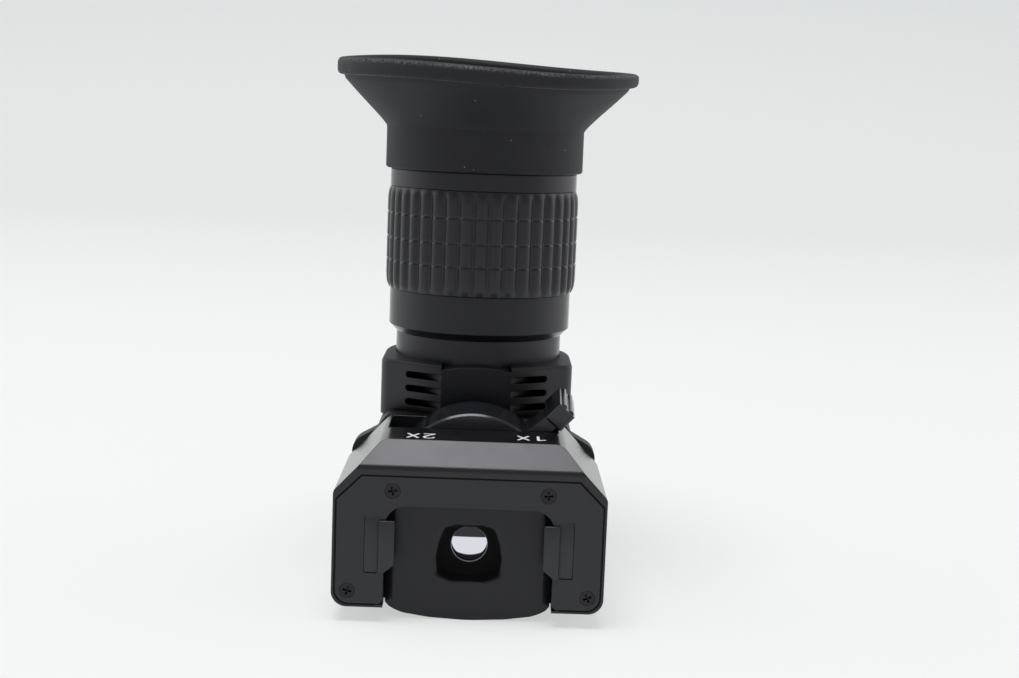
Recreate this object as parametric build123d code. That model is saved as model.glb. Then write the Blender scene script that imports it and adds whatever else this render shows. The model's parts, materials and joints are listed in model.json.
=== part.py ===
from build123d import *
import os
from math import asin, atan, cos, degrees, pi, radians, sin, sqrt, tan

# A right angle viewfinder. A front unit slides onto a camera's eyepiece shoe, an elbow behind it holds a roof
# prism and turns about the optical axis, and a barrel on the elbow carries the eyepiece.
# x runs across, y runs back along the optical axis from the mount plate, and z runs up along the barrel.
# The origin is where the optical axis meets the mount plate's outer face.

# Clearances and cuts
overrun = 1.0
seat_gap = 0.03
running_gap = 0.05
turning_gap = 0.2
inset_gap = 0.12
square_turn = 90
full_turn = 360

# Front housing
housing_half_width = 19.3
housing_bottom = -9.0
housing_top = 14.7
housing_shoulder_width = 6.55
housing_shoulder_drop = 7.0
housing_corner_radius = 2.2
housing_shoulder_radius = 2.4
housing_waist_radius = 1.2
housing_rear_wall = 1.4
brow_slope = 3.4
brow_radius = 1.1

# Mount plate, set in the housing's front inside a narrow rim
plate_thickness = 1.5
plate_side_rim = 0.5
plate_bottom_rim = 0.45
plate_top_rim = 1.3
plate_shoulder = 3.5
plate_corner_radius = 2.0
plate_shoulder_radius = 0.4
plate_leg_radius = 0.9

# Recess for the camera's eyepiece shoe, open below
recess_half_width = 11.95
recess_top = 5.8
recess_depth = 2.5
recess_corner_radius = 3.0

# Countersunk screws
plate_screw_upper_spacing = 21.9
plate_screw_upper_height = 7.95
plate_screw_lower_spacing = 34.0
plate_screw_lower_height = -6.65
plate_screw_length = 4.2
screw_head_radius = 1.1
screw_head_height = 0.75
screw_shank_radius = 0.55

# Rail clips, bent from spring sheet
clip_sheet = 0.5
clip_lip_half_gap = 10.5
clip_lip_width = 2.75
clip_flange_width = 1.8
clip_joggle = 0.3
clip_top = 4.1
clip_bottom = -3.9
clip_corner_cut = 1.15

# Window panel at the bottom of the recess
panel_thickness = 2.1
panel_skirt_corner_height = -9.1
panel_skirt_bottom = -11.2
window_top_half_width = 4.1
window_top_corner_height = 1.7
window_top_height = 2.8
window_half_width = 5.15
window_waist_height = -1.6
window_bottom_half_width = 4.7
window_bottom_corner_height = -4.5
window_bottom_height = -5.8
window_corner_radius = 0.9
window_bevel = 0.8
window_bevel_depth = 0.9
window_pocket_depth = 2.2

# Objective, in a cell that stands forward out of the web
objective_radius = 2.7
objective_edge = 0.9
objective_sagitta = 0.45
objective_cell_wall = 0.5
objective_cell_start = 5.0
objective_cell_length = 6.2
objective_lip = 0.35
objective_ring_thickness = 0.35
objective_ring_width = 0.3

# Lever slot across the housing, and the drum of the magnification lever that turns in it
strip_rear = 11.8
slot_half_width = 12.5
drum_axis_height = 5.4
drum_radius = 11.6
drum_rear_growth = 0.3
drum_front_gap = 0.3
drum_length = 8.5
drum_rear_gap = 0.3
drum_edge_chamfer = 0.3
drum_floor_gap = 1.25
lever_angle = 43.0
lever_swing = 94.0
pivot_radius = 1.5
pivot_insert = 1.1
turret_lens_radius = 3.0
turret_lens_edge = 1.0
turret_lens_sagitta = 0.4
turret_lens_lip = 0.4
turret_lens_setback = 1.5

# Click spring, a curved leaf on the slot's floor
spring_sheet = 0.3
spring_half_angle = 32.0
spring_width = 4.0
spring_bump_radius = 0.42
spring_notch_depth = 0.25

# Lever arm and thumb knob
arm_root_half_width = 1.45
arm_tip_half_width = 1.1
arm_reach = 4.6
arm_root_length = 7.9
arm_tip_length = 6.6
knob_centre_radius = 17.1
knob_drop = 0.2
knob_thickness = 3.0
knob_width = 3.0
knob_front_chamfer = 0.25
knob_front = 11.7
knob_length = 12.3
knob_rear_growth = 0.55
knob_tilt = 4.0
knob_ridge_count = 2
knob_ridge_radius = 0.42
knob_corner_radius = 0.4

# Swivel between the front unit and the elbow
spigot_flange_margin = 2.2
spigot_flange_half_height = 8.4
spigot_flange_thickness = 1.2
spigot_flange_corner = 2.0
spigot_shoulder_radius = 8.7
spigot_radius = 8.0
spigot_bore_radius = 6.4
spigot_screw_half_spacing = 11.3
spigot_screw_length = 2.4
swivel_aperture_radius = 3.3
swivel_ring_width = 1.6
swivel_ring_thickness = 1.0

# Elbow housing: lower body
elbow_front = 24.5
elbow_front_wall = 2.4
elbow_rear_reach = 14.0
elbow_half_width = 18.9
elbow_flange_thickness = 3.8
elbow_flange_edge = 0.5
elbow_bottom = -11.2
elbow_top = 14.2
elbow_top_half_width = 13.6
elbow_top_corner_radius = 1.6
elbow_shoulder_root_half_width = 15.2
elbow_shoulder_root_height = 11.8
elbow_shoulder_end_height = 9.7
elbow_shoulder_radius = 2.6
elbow_sole_radius = 1.5
elbow_sole_length = 12.0
elbow_rear_corner_radius = 9.0

# Elbow housing: tower with bowed front and slots
tower_front_wall = 2.1
tower_top = 22.0
tower_side_wall = 1.7
tower_facet_half_width = 5.4
tower_wing_angle = 29.0
tower_corner_radius = 2.2
tower_edge_radius = 0.5
tower_slot_count = 3
tower_slot_height = 1.05
tower_slot_pitch = 2.15
tower_slot_lowest = 15.7
tower_slot_length = 6.2
tower_slot_steepening = 17.0
tower_notch_depth = 0.15
tower_arch_rise = 0.55
tower_socket_floor = 14.6

# Prism chamber, its roof prism and its cover on the rear slope
prism_half_width = 8.0
prism_leg = 16.0
prism_side_gap = 0.6
chamber_top_gap = 1.2
chamber_bottom_gap = 1.2
chamber_rear_gap = 1.2
prism_aperture_radius = 6.6
prism_mask_thickness = 0.7
saddle_rise = 3.2
cover_thickness = 1.2
cover_half_width = 12.5
cover_margin = 1.7
cover_corner_radius = 1.5
cover_screw_inset = 1.7
cover_screw_length = 4.0

# Barrel, from the tower up to the eyecup's seat
tube_radius = 13.4
tube_wall = 1.5
tube_top_setback = 0.6
neck_length = 3.6
collar_wall = 1.25
collar_height = 7.0
collar_chamfer = 1.2
relay_cell_rise = 0.4
relay_cell_height = 7.5
relay_cell_wall = 2.9
relay_lens_edge = 1.6
relay_lens_sagitta = 1.1
relay_lip = 0.8
field_stop_gap = 4.5
field_stop_thickness = 0.8
field_stop_radius = 6.5
band_wall = 1.6
band_height = 2.6
seat_wall = 1.0
seat_height = 6.0
seat_lip = 1.1

# Dioptre ring, ribbed, between the collar and the band
ring_length = 16.2
ring_side_gap = 0.1
ring_root_wall = 1.35
ring_rib_wall = 2.05
ring_end_wall = 1.45
ring_groove_wall = 1.6
ring_groove_half_width = 0.5
ring_end_bevel = 0.9
ring_groove_shares = [0.284, 0.506, 0.747]
rib_count = 40
rib_gap_width = 0.75

# Drive from the ring to the ocular cell: a pin in a straight slot and in a helical groove
helix_pitch = 8.0
dioptre_turn = 90.0
drive_pin_radius = 0.7
drive_pin_rise = 10.3
drive_groove_depth = 0.75
drive_groove_end_angle = 6.0
drive_pin_tip_gap = 0.2

# Ocular cell and what it holds
cell_foot_rise = 3.3
cell_top_setback = 2.4
cell_wall = 1.5
cell_lip_height = 1.0
cell_lip = 1.0
ocular_edge = 1.4
field_lens_sagitta = 1.3
eye_lens_sagitta = 1.5
spacer_wall = 0.9
spacer_length = 7.0
ocular_ring_height = 1.5

# Eyecup, soft rubber; its rim is tilted up at the back
cup_neck_wall = 1.45
cup_neck_rise = 1.05
cup_neck_lap = 0.4
cup_lip = 1.6
cup_lip_height = 1.4
cup_tilt = 3.2
cup_flare_low_spread = 1.85
cup_flare_low_rise = 1.85
cup_flare_high_spread = 3.5
cup_flare_high_rise = 3.5
cup_wall = 1.5
cup_rim_spread = 1.65
cup_rim_rise = 3.5
cup_bead_radius = 1.35
cup_bead_sides = 12

# Places that follow from the sizes above
drum_front = strip_rear + drum_front_gap
drum_rear = drum_front + drum_length
drum_rear_radius = drum_radius + drum_rear_growth
slot_rear = drum_rear + drum_rear_gap
housing_depth = slot_rear + housing_rear_wall
panel_back = recess_depth + panel_thickness
spigot_face = elbow_front - turning_gap
spigot_flange_half_width = spigot_screw_half_spacing + spigot_flange_margin
swivel_ring_front = elbow_front + elbow_front_wall + turning_gap
spigot_end = swivel_ring_front + swivel_ring_thickness
tower_half_width = tube_radius + tower_side_wall
barrel_y = elbow_front + tower_front_wall + tube_radius
elbow_rear = barrel_y + elbow_rear_reach
collar_radius = tube_radius + collar_wall
collar_bottom = tower_top + neck_length
collar_top = collar_bottom + collar_height
ring_bottom = collar_top + ring_side_gap
ring_top = ring_bottom + ring_length
band_bottom = ring_top + ring_side_gap
band_top = band_bottom + band_height
band_radius = tube_radius + band_wall
seat_radius = tube_radius + seat_wall
seat_top = band_top + seat_height
tube_top = seat_top - tube_top_setback
tube_bore = tube_radius - tube_wall
relay_cell_bottom = tower_socket_floor + relay_cell_rise
relay_lens_radius = tube_bore - relay_cell_wall
field_stop_height = relay_cell_bottom + relay_cell_height + field_stop_gap
drive_pin_height = ring_bottom + drive_pin_rise
cell_bottom = ring_bottom + cell_foot_rise
cell_top = tube_top - cell_top_setback
cup_neck_radius = seat_radius + cup_neck_wall
cup_neck_top = seat_top + cup_neck_rise
cup_lip_radius = seat_radius - cup_lip
cup_flare_low_radius = cup_neck_radius + cup_flare_low_spread
cup_flare_low_height = cup_neck_top + cup_flare_low_rise
cup_flare_high_radius = cup_flare_low_radius + cup_flare_high_spread
cup_flare_high_height = cup_flare_low_height + cup_flare_high_rise
cup_rim_radius = cup_flare_high_radius + cup_rim_spread
cup_rim_height = cup_flare_high_height + cup_rim_rise
cell_radius = tube_bore - running_gap
cell_bore = cell_radius - cell_wall
drive_pin_tip = tube_radius + drive_groove_depth - drive_pin_tip_gap
lens_spread = radians(lever_swing)
drum_axis = Axis((0, 0, drum_axis_height), (0, 1, 0))
barrel_axis = Axis((0, barrel_y, 0), (0, 0, 1))


# Helpers
def front_prism(sketch, near, far):
    """Extrudes a front view, drawn in x and z, from y = near back to y = far."""
    plane = Plane(origin=(0, far, 0), x_dir=(1, 0, 0), z_dir=(0, -1, 0))
    return extrude(plane * sketch, amount=far - near, dir=(0, -1, 0))


def side_prism(sketch, half_width):
    """Extrudes a side view, drawn in y and z, to half_width on both sides of the middle."""
    return extrude(Plane.YZ.offset(-half_width) * sketch, amount=2 * half_width, dir=(1, 0, 0))


def upright_prism(sketch, low, high):
    """Extrudes a plan, drawn in x and y, from z = low to z = high."""
    return extrude(Plane.XY.offset(low) * sketch, amount=high - low, dir=(0, 0, 1))


def barrel_turned(points):
    """Turns a profile of (radius, height) points about the barrel's axis."""
    plane = Plane(origin=(0, barrel_y, 0), x_dir=(1, 0, 0), z_dir=(0, -1, 0))
    return revolve(plane * make_face(Polyline(*points, close=True)), axis=barrel_axis)


def barrel_tube_between(inner, outer, low, high):
    """A plain ring about the barrel's axis."""
    return barrel_turned([(inner, low), (outer, low), (outer, high), (inner, high)])


def optical_turned(points, height=0):
    """Turns a profile of (radius, y) points about an axis along y at the given height."""
    axis = Axis((0, 0, height), (0, 1, 0))
    return revolve(Plane.XY.offset(height) * make_face(Polyline(*points, close=True)), axis=axis)


def optical_ring(inner, outer, near, far, height=0):
    """A plain ring about an axis along y."""
    return optical_turned([(inner, near), (outer, near), (outer, far), (inner, far)], height)


def round_bar(radius, near, far, x=0, z=0):
    """A round bar along y."""
    return front_prism(Pos(x, z) * Circle(radius), near, far)


def mirrored_polygon(points):
    """A face from the right half of its outline, bottom to top, mirrored to the left."""
    left = [(-x, z) for x, z in reversed(points) if x > 0]
    return make_face(Polyline(*points, *left, close=True))


def lens(radius, edge, sagitta, start, plane):
    """A lens with a flat face at start and a bulged face past its rim, turned about the plane's y axis."""
    curve = (radius**2 + sagitta**2) / (2 * sagitta)
    half_turn = asin(radius / curve) / 2
    top = start + edge + sagitta
    middle = (curve * sin(half_turn), top - curve * (1 - cos(half_turn)))
    outline = Polyline((0, top), (0, start), (radius, start), (radius, start + edge))
    outline += ThreePointArc((radius, start + edge), middle, (0, top))
    return revolve(plane * make_face(outline.edges()), axis=Axis(plane.origin, plane.y_dir))


def bulge_height(radius, sagitta, at):
    """How high a lens's bulged face stands over its rim at a smaller radius."""
    curve = (radius**2 + sagitta**2) / (2 * sagitta)
    return sqrt(curve**2 - at**2) - (curve - sagitta)


def countersunk(radius_gap=0, length=0):
    """A countersunk screw along -z with its head's face at z = 0, or its hole with a gap all round."""
    head = screw_head_radius + radius_gap
    shank = screw_shank_radius + radius_gap
    profile = Polyline(
        (0, 0),
        (head, 0),
        (shank, -screw_head_height),
        (shank, -length),
        (0, -length),
        close=True,
    )
    return revolve(Plane.XZ * make_face(profile), axis=Axis.Z)


def plate_screw_places():
    """The four screw places in the mount plate, as (x, z)."""
    upper = [(side * plate_screw_upper_spacing / 2, plate_screw_upper_height) for side in (-1, 1)]
    lower = [(side * plate_screw_lower_spacing / 2, plate_screw_lower_height) for side in (-1, 1)]
    return upper + lower


def plate_fasteners(gap=0):
    """The mount plate's screws, or their holes."""
    facing = Rot(square_turn, 0, 0)
    return [Pos(x, 0, z) * facing * countersunk(gap, plate_screw_length) for x, z in plate_screw_places()]


def spigot_fasteners(gap=0):
    """The screws that hold the spigot's flange to the housing's rear wall, or their holes."""
    facing = Rot(-square_turn, 0, 0)
    flange_rear = housing_depth + spigot_flange_thickness
    places = [side * spigot_screw_half_spacing for side in (-1, 1)]
    return [Pos(x, flange_rear, 0) * facing * countersunk(gap, spigot_screw_length) for x in places]


# Front unit
def shouldered(half_width, bottom, top, shoulder_width, shoulder_drop, radii):
    """The octagonal front view that the housing and the plate share, with its corners rounded from the bottom up."""
    face = mirrored_polygon(
        [
            (half_width, bottom),
            (half_width, top - shoulder_drop),
            (half_width - shoulder_width, top),
        ]
    )
    for height, radius in zip((bottom, top - shoulder_drop, top), radii):
        corners = [corner for corner in face.vertices() if abs(corner.Y - height) < seat_gap]
        face = fillet(corners, radius)
    return face


def plate_outline(gap=0):
    """The mount plate's outline, or its pocket with a gap all round."""
    return shouldered(
        housing_half_width - plate_side_rim + gap,
        housing_bottom + plate_bottom_rim - gap,
        housing_top - brow_slope - plate_top_rim + gap,
        plate_shoulder,
        plate_shoulder,
        (plate_corner_radius, plate_shoulder_radius, plate_shoulder_radius),
    )


def recess_outline(gap=0):
    """The recess for the eyepiece shoe, rounded above and running out below the housing."""
    half_width = recess_half_width - gap
    top = recess_top - gap
    low = panel_skirt_bottom - overrun
    face = mirrored_polygon([(half_width, low), (half_width, top)])
    return fillet(face.vertices().group_by(Axis.Y)[-1], recess_corner_radius - gap)


def window_outline(inset=0):
    """The viewing window: four bulged sides and rounded corners."""
    outline = (
        ThreePointArc(
            (-window_top_half_width, window_top_corner_height),
            (0, window_top_height),
            (window_top_half_width, window_top_corner_height),
        )
        + ThreePointArc(
            (window_top_half_width, window_top_corner_height),
            (window_half_width, window_waist_height),
            (window_bottom_half_width, window_bottom_corner_height),
        )
        + ThreePointArc(
            (window_bottom_half_width, window_bottom_corner_height),
            (0, window_bottom_height),
            (-window_bottom_half_width, window_bottom_corner_height),
        )
        + ThreePointArc(
            (-window_bottom_half_width, window_bottom_corner_height),
            (-window_half_width, window_waist_height),
            (-window_top_half_width, window_top_corner_height),
        )
    )
    face = make_face(outline.edges())
    face = fillet(face.vertices(), window_corner_radius)
    return offset(face, amount=-inset) if inset else face


def front_housing():
    outline = shouldered(
        housing_half_width,
        housing_bottom,
        housing_top,
        housing_shoulder_width,
        housing_shoulder_drop,
        (housing_corner_radius, housing_waist_radius, housing_shoulder_radius),
    )
    body = front_prism(outline, 0, housing_depth)
    brow_foot = housing_top - brow_slope
    brow = Polygon(
        (-overrun, brow_foot - overrun),
        (brow_slope + overrun, housing_top + overrun),
        (-overrun, housing_top + overrun),
        align=None,
    )
    body -= side_prism(brow, housing_half_width + overrun)
    body = fillet(body.edges().filter_by(Axis.X).sort_by_distance((0, 0, brow_foot))[0], brow_radius)
    body -= front_prism(plate_outline(inset_gap), -overrun, plate_thickness)
    body -= front_prism(recess_outline(), 0, panel_back)
    body -= front_prism(window_outline(window_bevel), 0, panel_back + window_pocket_depth)
    cell_radius_out = objective_radius + objective_cell_wall + seat_gap
    body -= round_bar(cell_radius_out, 0, objective_cell_start + objective_cell_length)
    body -= round_bar(objective_radius - objective_lip, 0, strip_rear + overrun)
    body -= lever_slot()
    pivot_ends = (strip_rear - pivot_insert, slot_rear + pivot_insert)
    body -= round_bar(pivot_radius + seat_gap, *pivot_ends, 0, drum_axis_height)
    body -= round_bar(swivel_aperture_radius, slot_rear - overrun, housing_depth + overrun)
    for hole in plate_fasteners(seat_gap) + spigot_fasteners(seat_gap):
        body -= hole
    return body


def lever_slot():
    """The slot across the top of the housing, with a round floor that follows the drum."""
    floor_radius = drum_radius + drum_floor_gap
    trough = round_bar(floor_radius, strip_rear, slot_rear, 0, drum_axis_height)
    mouth = mirrored_polygon(
        [(slot_half_width, drum_axis_height), (slot_half_width, housing_top + overrun)]
    )
    return trough + front_prism(mouth, strip_rear, slot_rear)


def mount_plate():
    body = front_prism(plate_outline(), 0, plate_thickness)
    cut = front_prism(recess_outline(), -overrun, plate_thickness + overrun)
    body -= cut
    leg_ends = body.edges().filter_by(Axis.Y).group_by(Axis.Z)[0]
    inner = [edge for edge in leg_ends if abs(edge.center().X) < recess_half_width + seat_gap]
    body = fillet(inner, plate_leg_radius)
    for side in (-1, 1):
        body -= clip_pocket(side)
    for hole in plate_fasteners(seat_gap):
        body -= hole
    return body


def clip_pocket(side):
    """The shallow pocket in the plate that the clip's flange is set in."""
    inner = clip_lip_half_gap + clip_lip_width - clip_joggle - seat_gap
    outer = clip_lip_half_gap + clip_lip_width - clip_joggle + clip_flange_width + seat_gap
    pocket = Polygon(
        (side * inner, clip_bottom - inset_gap),
        (side * outer, clip_bottom - inset_gap),
        (side * outer, clip_top + inset_gap),
        (side * inner, clip_top + inset_gap),
        align=None,
    )
    return front_prism(pocket, -overrun, clip_sheet)


def rail_clip(side):
    """A clip: its flange lies in the plate, and its lip stands one sheet proud over the recess's edge."""
    lip_outer = clip_lip_half_gap + clip_lip_width
    flange_inner = lip_outer - clip_joggle
    flange_outer = flange_inner + clip_flange_width
    plan = make_face(
        Polyline(
            (side * clip_lip_half_gap, -clip_sheet),
            (side * lip_outer, -clip_sheet),
            (side * lip_outer, 0),
            (side * flange_outer, 0),
            (side * flange_outer, clip_sheet),
            (side * flange_inner, clip_sheet),
            (side * flange_inner, 0),
            (side * clip_lip_half_gap, 0),
            close=True,
        )
    )
    body = upright_prism(plan, clip_bottom, clip_top)
    corner = Polygon(
        (side * (clip_lip_half_gap - overrun), clip_bottom - overrun),
        (side * (clip_lip_half_gap + clip_corner_cut + overrun), clip_bottom - overrun),
        (side * (clip_lip_half_gap - overrun), clip_bottom + clip_corner_cut + overrun),
        align=None,
    )
    return body - front_prism(corner, -clip_sheet - overrun, 0)


def window_panel():
    half_width = recess_half_width - inset_gap
    top = recess_top - inset_gap
    outline = Polyline(
        (half_width, panel_skirt_corner_height),
        (half_width, top),
        (-half_width, top),
        (-half_width, panel_skirt_corner_height),
    ) + ThreePointArc(
        (-half_width, panel_skirt_corner_height),
        (0, panel_skirt_bottom),
        (half_width, panel_skirt_corner_height),
    )
    face = make_face(outline.edges())
    face = fillet(face.vertices().group_by(Axis.Y)[-1], recess_corner_radius - inset_gap)
    body = front_prism(face, recess_depth, panel_back)
    body -= front_prism(window_outline(window_bevel), recess_depth - overrun, panel_back + overrun)
    mouth = Plane(origin=(0, recess_depth, 0), x_dir=(1, 0, 0), z_dir=(0, -1, 0))
    throat = Plane(origin=(0, recess_depth + window_bevel_depth, 0), x_dir=(1, 0, 0), z_dir=(0, -1, 0))
    body -= loft([mouth * window_outline(), throat * window_outline(window_bevel)], ruled=True)
    return body


def objective_cell():
    outer = objective_radius + objective_cell_wall
    start = objective_cell_start
    end = start + objective_cell_length
    seat = start + objective_ring_thickness + objective_sagitta + objective_edge
    bore = objective_radius + seat_gap
    lip = objective_radius - objective_lip
    return optical_turned([(bore, start), (outer, start), (outer, end), (lip, end), (lip, seat), (bore, seat)])


def objective_lens():
    seat = objective_cell_start + objective_ring_thickness + objective_sagitta + objective_edge
    plane = Plane(origin=(0, 0, 0), x_dir=(1, 0, 0), z_dir=(0, 0, -1))
    return lens(objective_radius, objective_edge, objective_sagitta, -seat, plane)


def objective_ring():
    inner = objective_radius - objective_ring_width
    start = objective_cell_start
    end = start + objective_ring_thickness
    return optical_ring(inner, objective_radius, start, end)


def lever_pivot():
    return round_bar(pivot_radius, strip_rear - pivot_insert, slot_rear + pivot_insert, 0, drum_axis_height)


def click_spring():
    """A curved leaf on the slot's floor; its bump meets a notch in the drum at each end of the swing."""
    outer = drum_radius + drum_floor_gap - seat_gap
    inner = outer - spring_sheet
    middle = (drum_front + drum_rear) / 2
    near = middle - spring_width / 2
    far = middle + spring_width / 2
    leaf = optical_ring(inner, outer, near, far, drum_axis_height)
    reach = outer * tan(radians(spring_half_angle))
    wedge = Polygon(
        (0, drum_axis_height),
        (-reach, drum_axis_height - outer),
        (0, drum_axis_height - outer - overrun),
        (reach, drum_axis_height - outer),
        align=None,
    )
    leaf &= front_prism(wedge, near - overrun, far + overrun)
    bump_height = drum_axis_height - drum_rear_radius - running_gap - spring_bump_radius
    return leaf + round_bar(spring_bump_radius, near, far, 0, bump_height)


def swivel_spigot():
    flange = front_prism(
        RectangleRounded(2 * spigot_flange_half_width, 2 * spigot_flange_half_height, spigot_flange_corner),
        housing_depth,
        housing_depth + spigot_flange_thickness,
    )
    body = flange + round_bar(spigot_shoulder_radius, housing_depth, spigot_face)
    body += round_bar(spigot_radius, spigot_face, spigot_end)
    body -= round_bar(spigot_bore_radius, housing_depth - overrun, spigot_end + overrun)
    for hole in spigot_fasteners(seat_gap):
        body -= hole
    return body


def swivel_ring():
    inner = spigot_radius + seat_gap
    outer = spigot_radius + swivel_ring_width
    return optical_ring(inner, outer, swivel_ring_front, spigot_end)


# Magnification lever
def drum_place(angle, radius):
    """A point at an angle about the drum's axis, counted from +x towards +z, as (x, z)."""
    return radius * cos(angle), drum_axis_height + radius * sin(angle)


def turret_lens_places():
    """The two lens seats: the 1X seat is on the optical axis, the 2X seat one swing ahead of it."""
    down = -pi / 2
    return [drum_place(down, drum_axis_height), drum_place(down - lens_spread, drum_axis_height)]


def drum_blank(bore=0):
    """The drum before its seats are cut: a chamfered front edge, and a rim that grows a little to the rear."""
    return optical_turned(
        [
            (bore, drum_front),
            (drum_radius - drum_edge_chamfer, drum_front),
            (drum_radius, drum_front + drum_edge_chamfer),
            (drum_rear_radius, drum_rear),
            (bore, drum_rear),
        ],
        drum_axis_height,
    )


def lens_drum():
    body = drum_blank(pivot_radius + running_gap)
    seat = drum_front + turret_lens_setback
    for x, z in turret_lens_places():
        body -= round_bar(turret_lens_radius + seat_gap, drum_front - overrun, seat, x, z)
        body -= round_bar(turret_lens_radius - turret_lens_lip, drum_front, drum_rear + overrun, x, z)
    for angle in (-pi / 2, -pi / 2 - lens_spread):
        x, z = drum_place(angle, drum_rear_radius + spring_bump_radius - spring_notch_depth)
        body -= round_bar(spring_bump_radius, drum_front - overrun, drum_rear + overrun, x, z)
    return body


def turret_lens(index):
    x, z = turret_lens_places()[index]
    seat = drum_front + turret_lens_setback
    plane = Plane(origin=(x, 0, z), x_dir=(1, 0, 0), z_dir=(0, 0, -1))
    bulge = turret_lens_sagitta * (index + 1) / 2
    return lens(turret_lens_radius, turret_lens_edge, bulge, -seat, plane)


def along_lever(shape):
    """Turns a shape that was made along +x from the drum's axis to the lever's angle."""
    return Pos(0, 0, drum_axis_height) * Rot(0, -lever_angle, 0) * shape


def lever_arm():
    """The arm, seated on the drum's rim and tapered in both views towards the knob."""
    root = drum_radius - overrun
    tip = drum_radius + arm_reach
    middle = (drum_front + drum_rear) / 2
    front_view = make_face(
        Polyline(
            (root, -arm_root_half_width),
            (tip, -arm_tip_half_width),
            (tip, arm_tip_half_width),
            (root, arm_root_half_width),
            close=True,
        )
    )
    plan = make_face(
        Polyline(
            (root, middle - arm_root_length / 2),
            (tip, middle - arm_tip_length / 2),
            (tip, middle + arm_tip_length / 2),
            (root, middle + arm_root_length / 2),
            close=True,
        )
    )
    bar = front_prism(front_view, drum_front, drum_rear)
    bar &= upright_prism(plan, -arm_root_half_width, arm_root_half_width)
    return along_lever(bar) - drum_blank() - along_lever(knob_core())


def knob_core():
    """The knob's plain body at the lever's end, a little higher at the back."""
    half_thick = knob_thickness / 2
    half_wide = knob_width / 2
    near = knob_front
    far = knob_front + knob_length
    plan = make_face(
        Polyline(
            (-half_thick, near),
            (half_thick, near),
            (half_thick + knob_rear_growth, far),
            (-half_thick, far),
            close=True,
        )
    )
    body = upright_prism(plan, -half_wide, half_wide)
    body = fillet(body.edges().filter_by(Axis.Y), knob_corner_radius)
    body = chamfer(body.faces().sort_by(Axis.Y)[0].edges(), knob_front_chamfer)
    return Pos(knob_centre_radius, 0, -knob_drop) * Rot(0, -knob_tilt, 0) * body


def thumb_knob():
    """The knob with ridges that run front to back along its outer end."""
    body = knob_core()
    spread = knob_width - 2 * knob_corner_radius - 2 * knob_ridge_radius
    growth_angle = degrees(atan(knob_rear_growth / knob_length))
    length = knob_length - 2 * knob_front_chamfer
    out = (knob_thickness + knob_rear_growth) / 2
    ridge = Rot(0, 0, -growth_angle) * Rot(square_turn, 0, 0) * Cylinder(knob_ridge_radius, length)
    for index in range(knob_ridge_count):
        height = (index / (knob_ridge_count - 1) - 1 / 2) * spread
        placed = Pos(out, knob_front + knob_length / 2, height) * ridge
        body += Pos(knob_centre_radius, 0, -knob_drop) * Rot(0, -knob_tilt, 0) * placed
    return along_lever(body)


# Elbow
def slope_frame():
    """A plane on the elbow's rear slope: x across, y up the slope, z outwards."""
    foot = elbow_front + elbow_sole_length
    middle = (foot + elbow_rear) / 2
    height = elbow_bottom + middle - foot
    return Plane(origin=(0, middle, height), x_dir=(-1, 0, 0), z_dir=(0, 1, -1))


def chamber_limits():
    """The chamber's floor height, its rear end, and how far z lies over y on the plane that the cover seats on."""
    low = -prism_leg / 2 - chamber_bottom_gap
    far = barrel_y + prism_leg / 2 + chamber_rear_gap
    foot = elbow_front + elbow_sole_length
    return low, far, elbow_bottom - foot + cover_thickness * sqrt(2)


def chamber_side():
    """The prism chamber's side view; its lower rear side is the plane that the cover seats on."""
    top = prism_leg / 2 + chamber_top_gap
    near = elbow_front + elbow_front_wall
    low, far, seat = chamber_limits()
    return Polygon((near, low), (low - seat, low), (far, far + seat), (far, top), (near, top), align=None)


def chamber():
    return side_prism(chamber_side(), prism_half_width + prism_side_gap)


def cover_length():
    """The cover's length up the slope: the chamber's mouth and a margin at each end."""
    low, far, seat = chamber_limits()
    return (far - (low - seat)) * sqrt(2) + 2 * cover_margin


def cover_centre():
    """How far up the slope from its middle the cover's centre lies."""
    low, far, seat = chamber_limits()
    mouth_middle = (far + low - seat) / 2
    slope_middle = (elbow_front + elbow_sole_length + elbow_rear) / 2
    return (mouth_middle - slope_middle) * sqrt(2) + cover_thickness


def cover_block(gap=0):
    """The cover's plate on the slope, or its pocket with a gap all round."""
    plate = RectangleRounded(2 * (cover_half_width + gap), cover_length() + 2 * gap, cover_corner_radius)
    return extrude(slope_frame() * Pos(0, cover_centre()) * plate, amount=-cover_thickness)


def cover_fasteners(gap=0):
    """The cover's two screws, one at the middle of each side, or their holes."""
    half_x = cover_half_width - cover_screw_inset
    frame = slope_frame()
    return [
        frame.location * Pos(side * half_x, cover_centre(), 0) * countersunk(gap, cover_screw_length)
        for side in (-1, 1)
    ]


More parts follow.
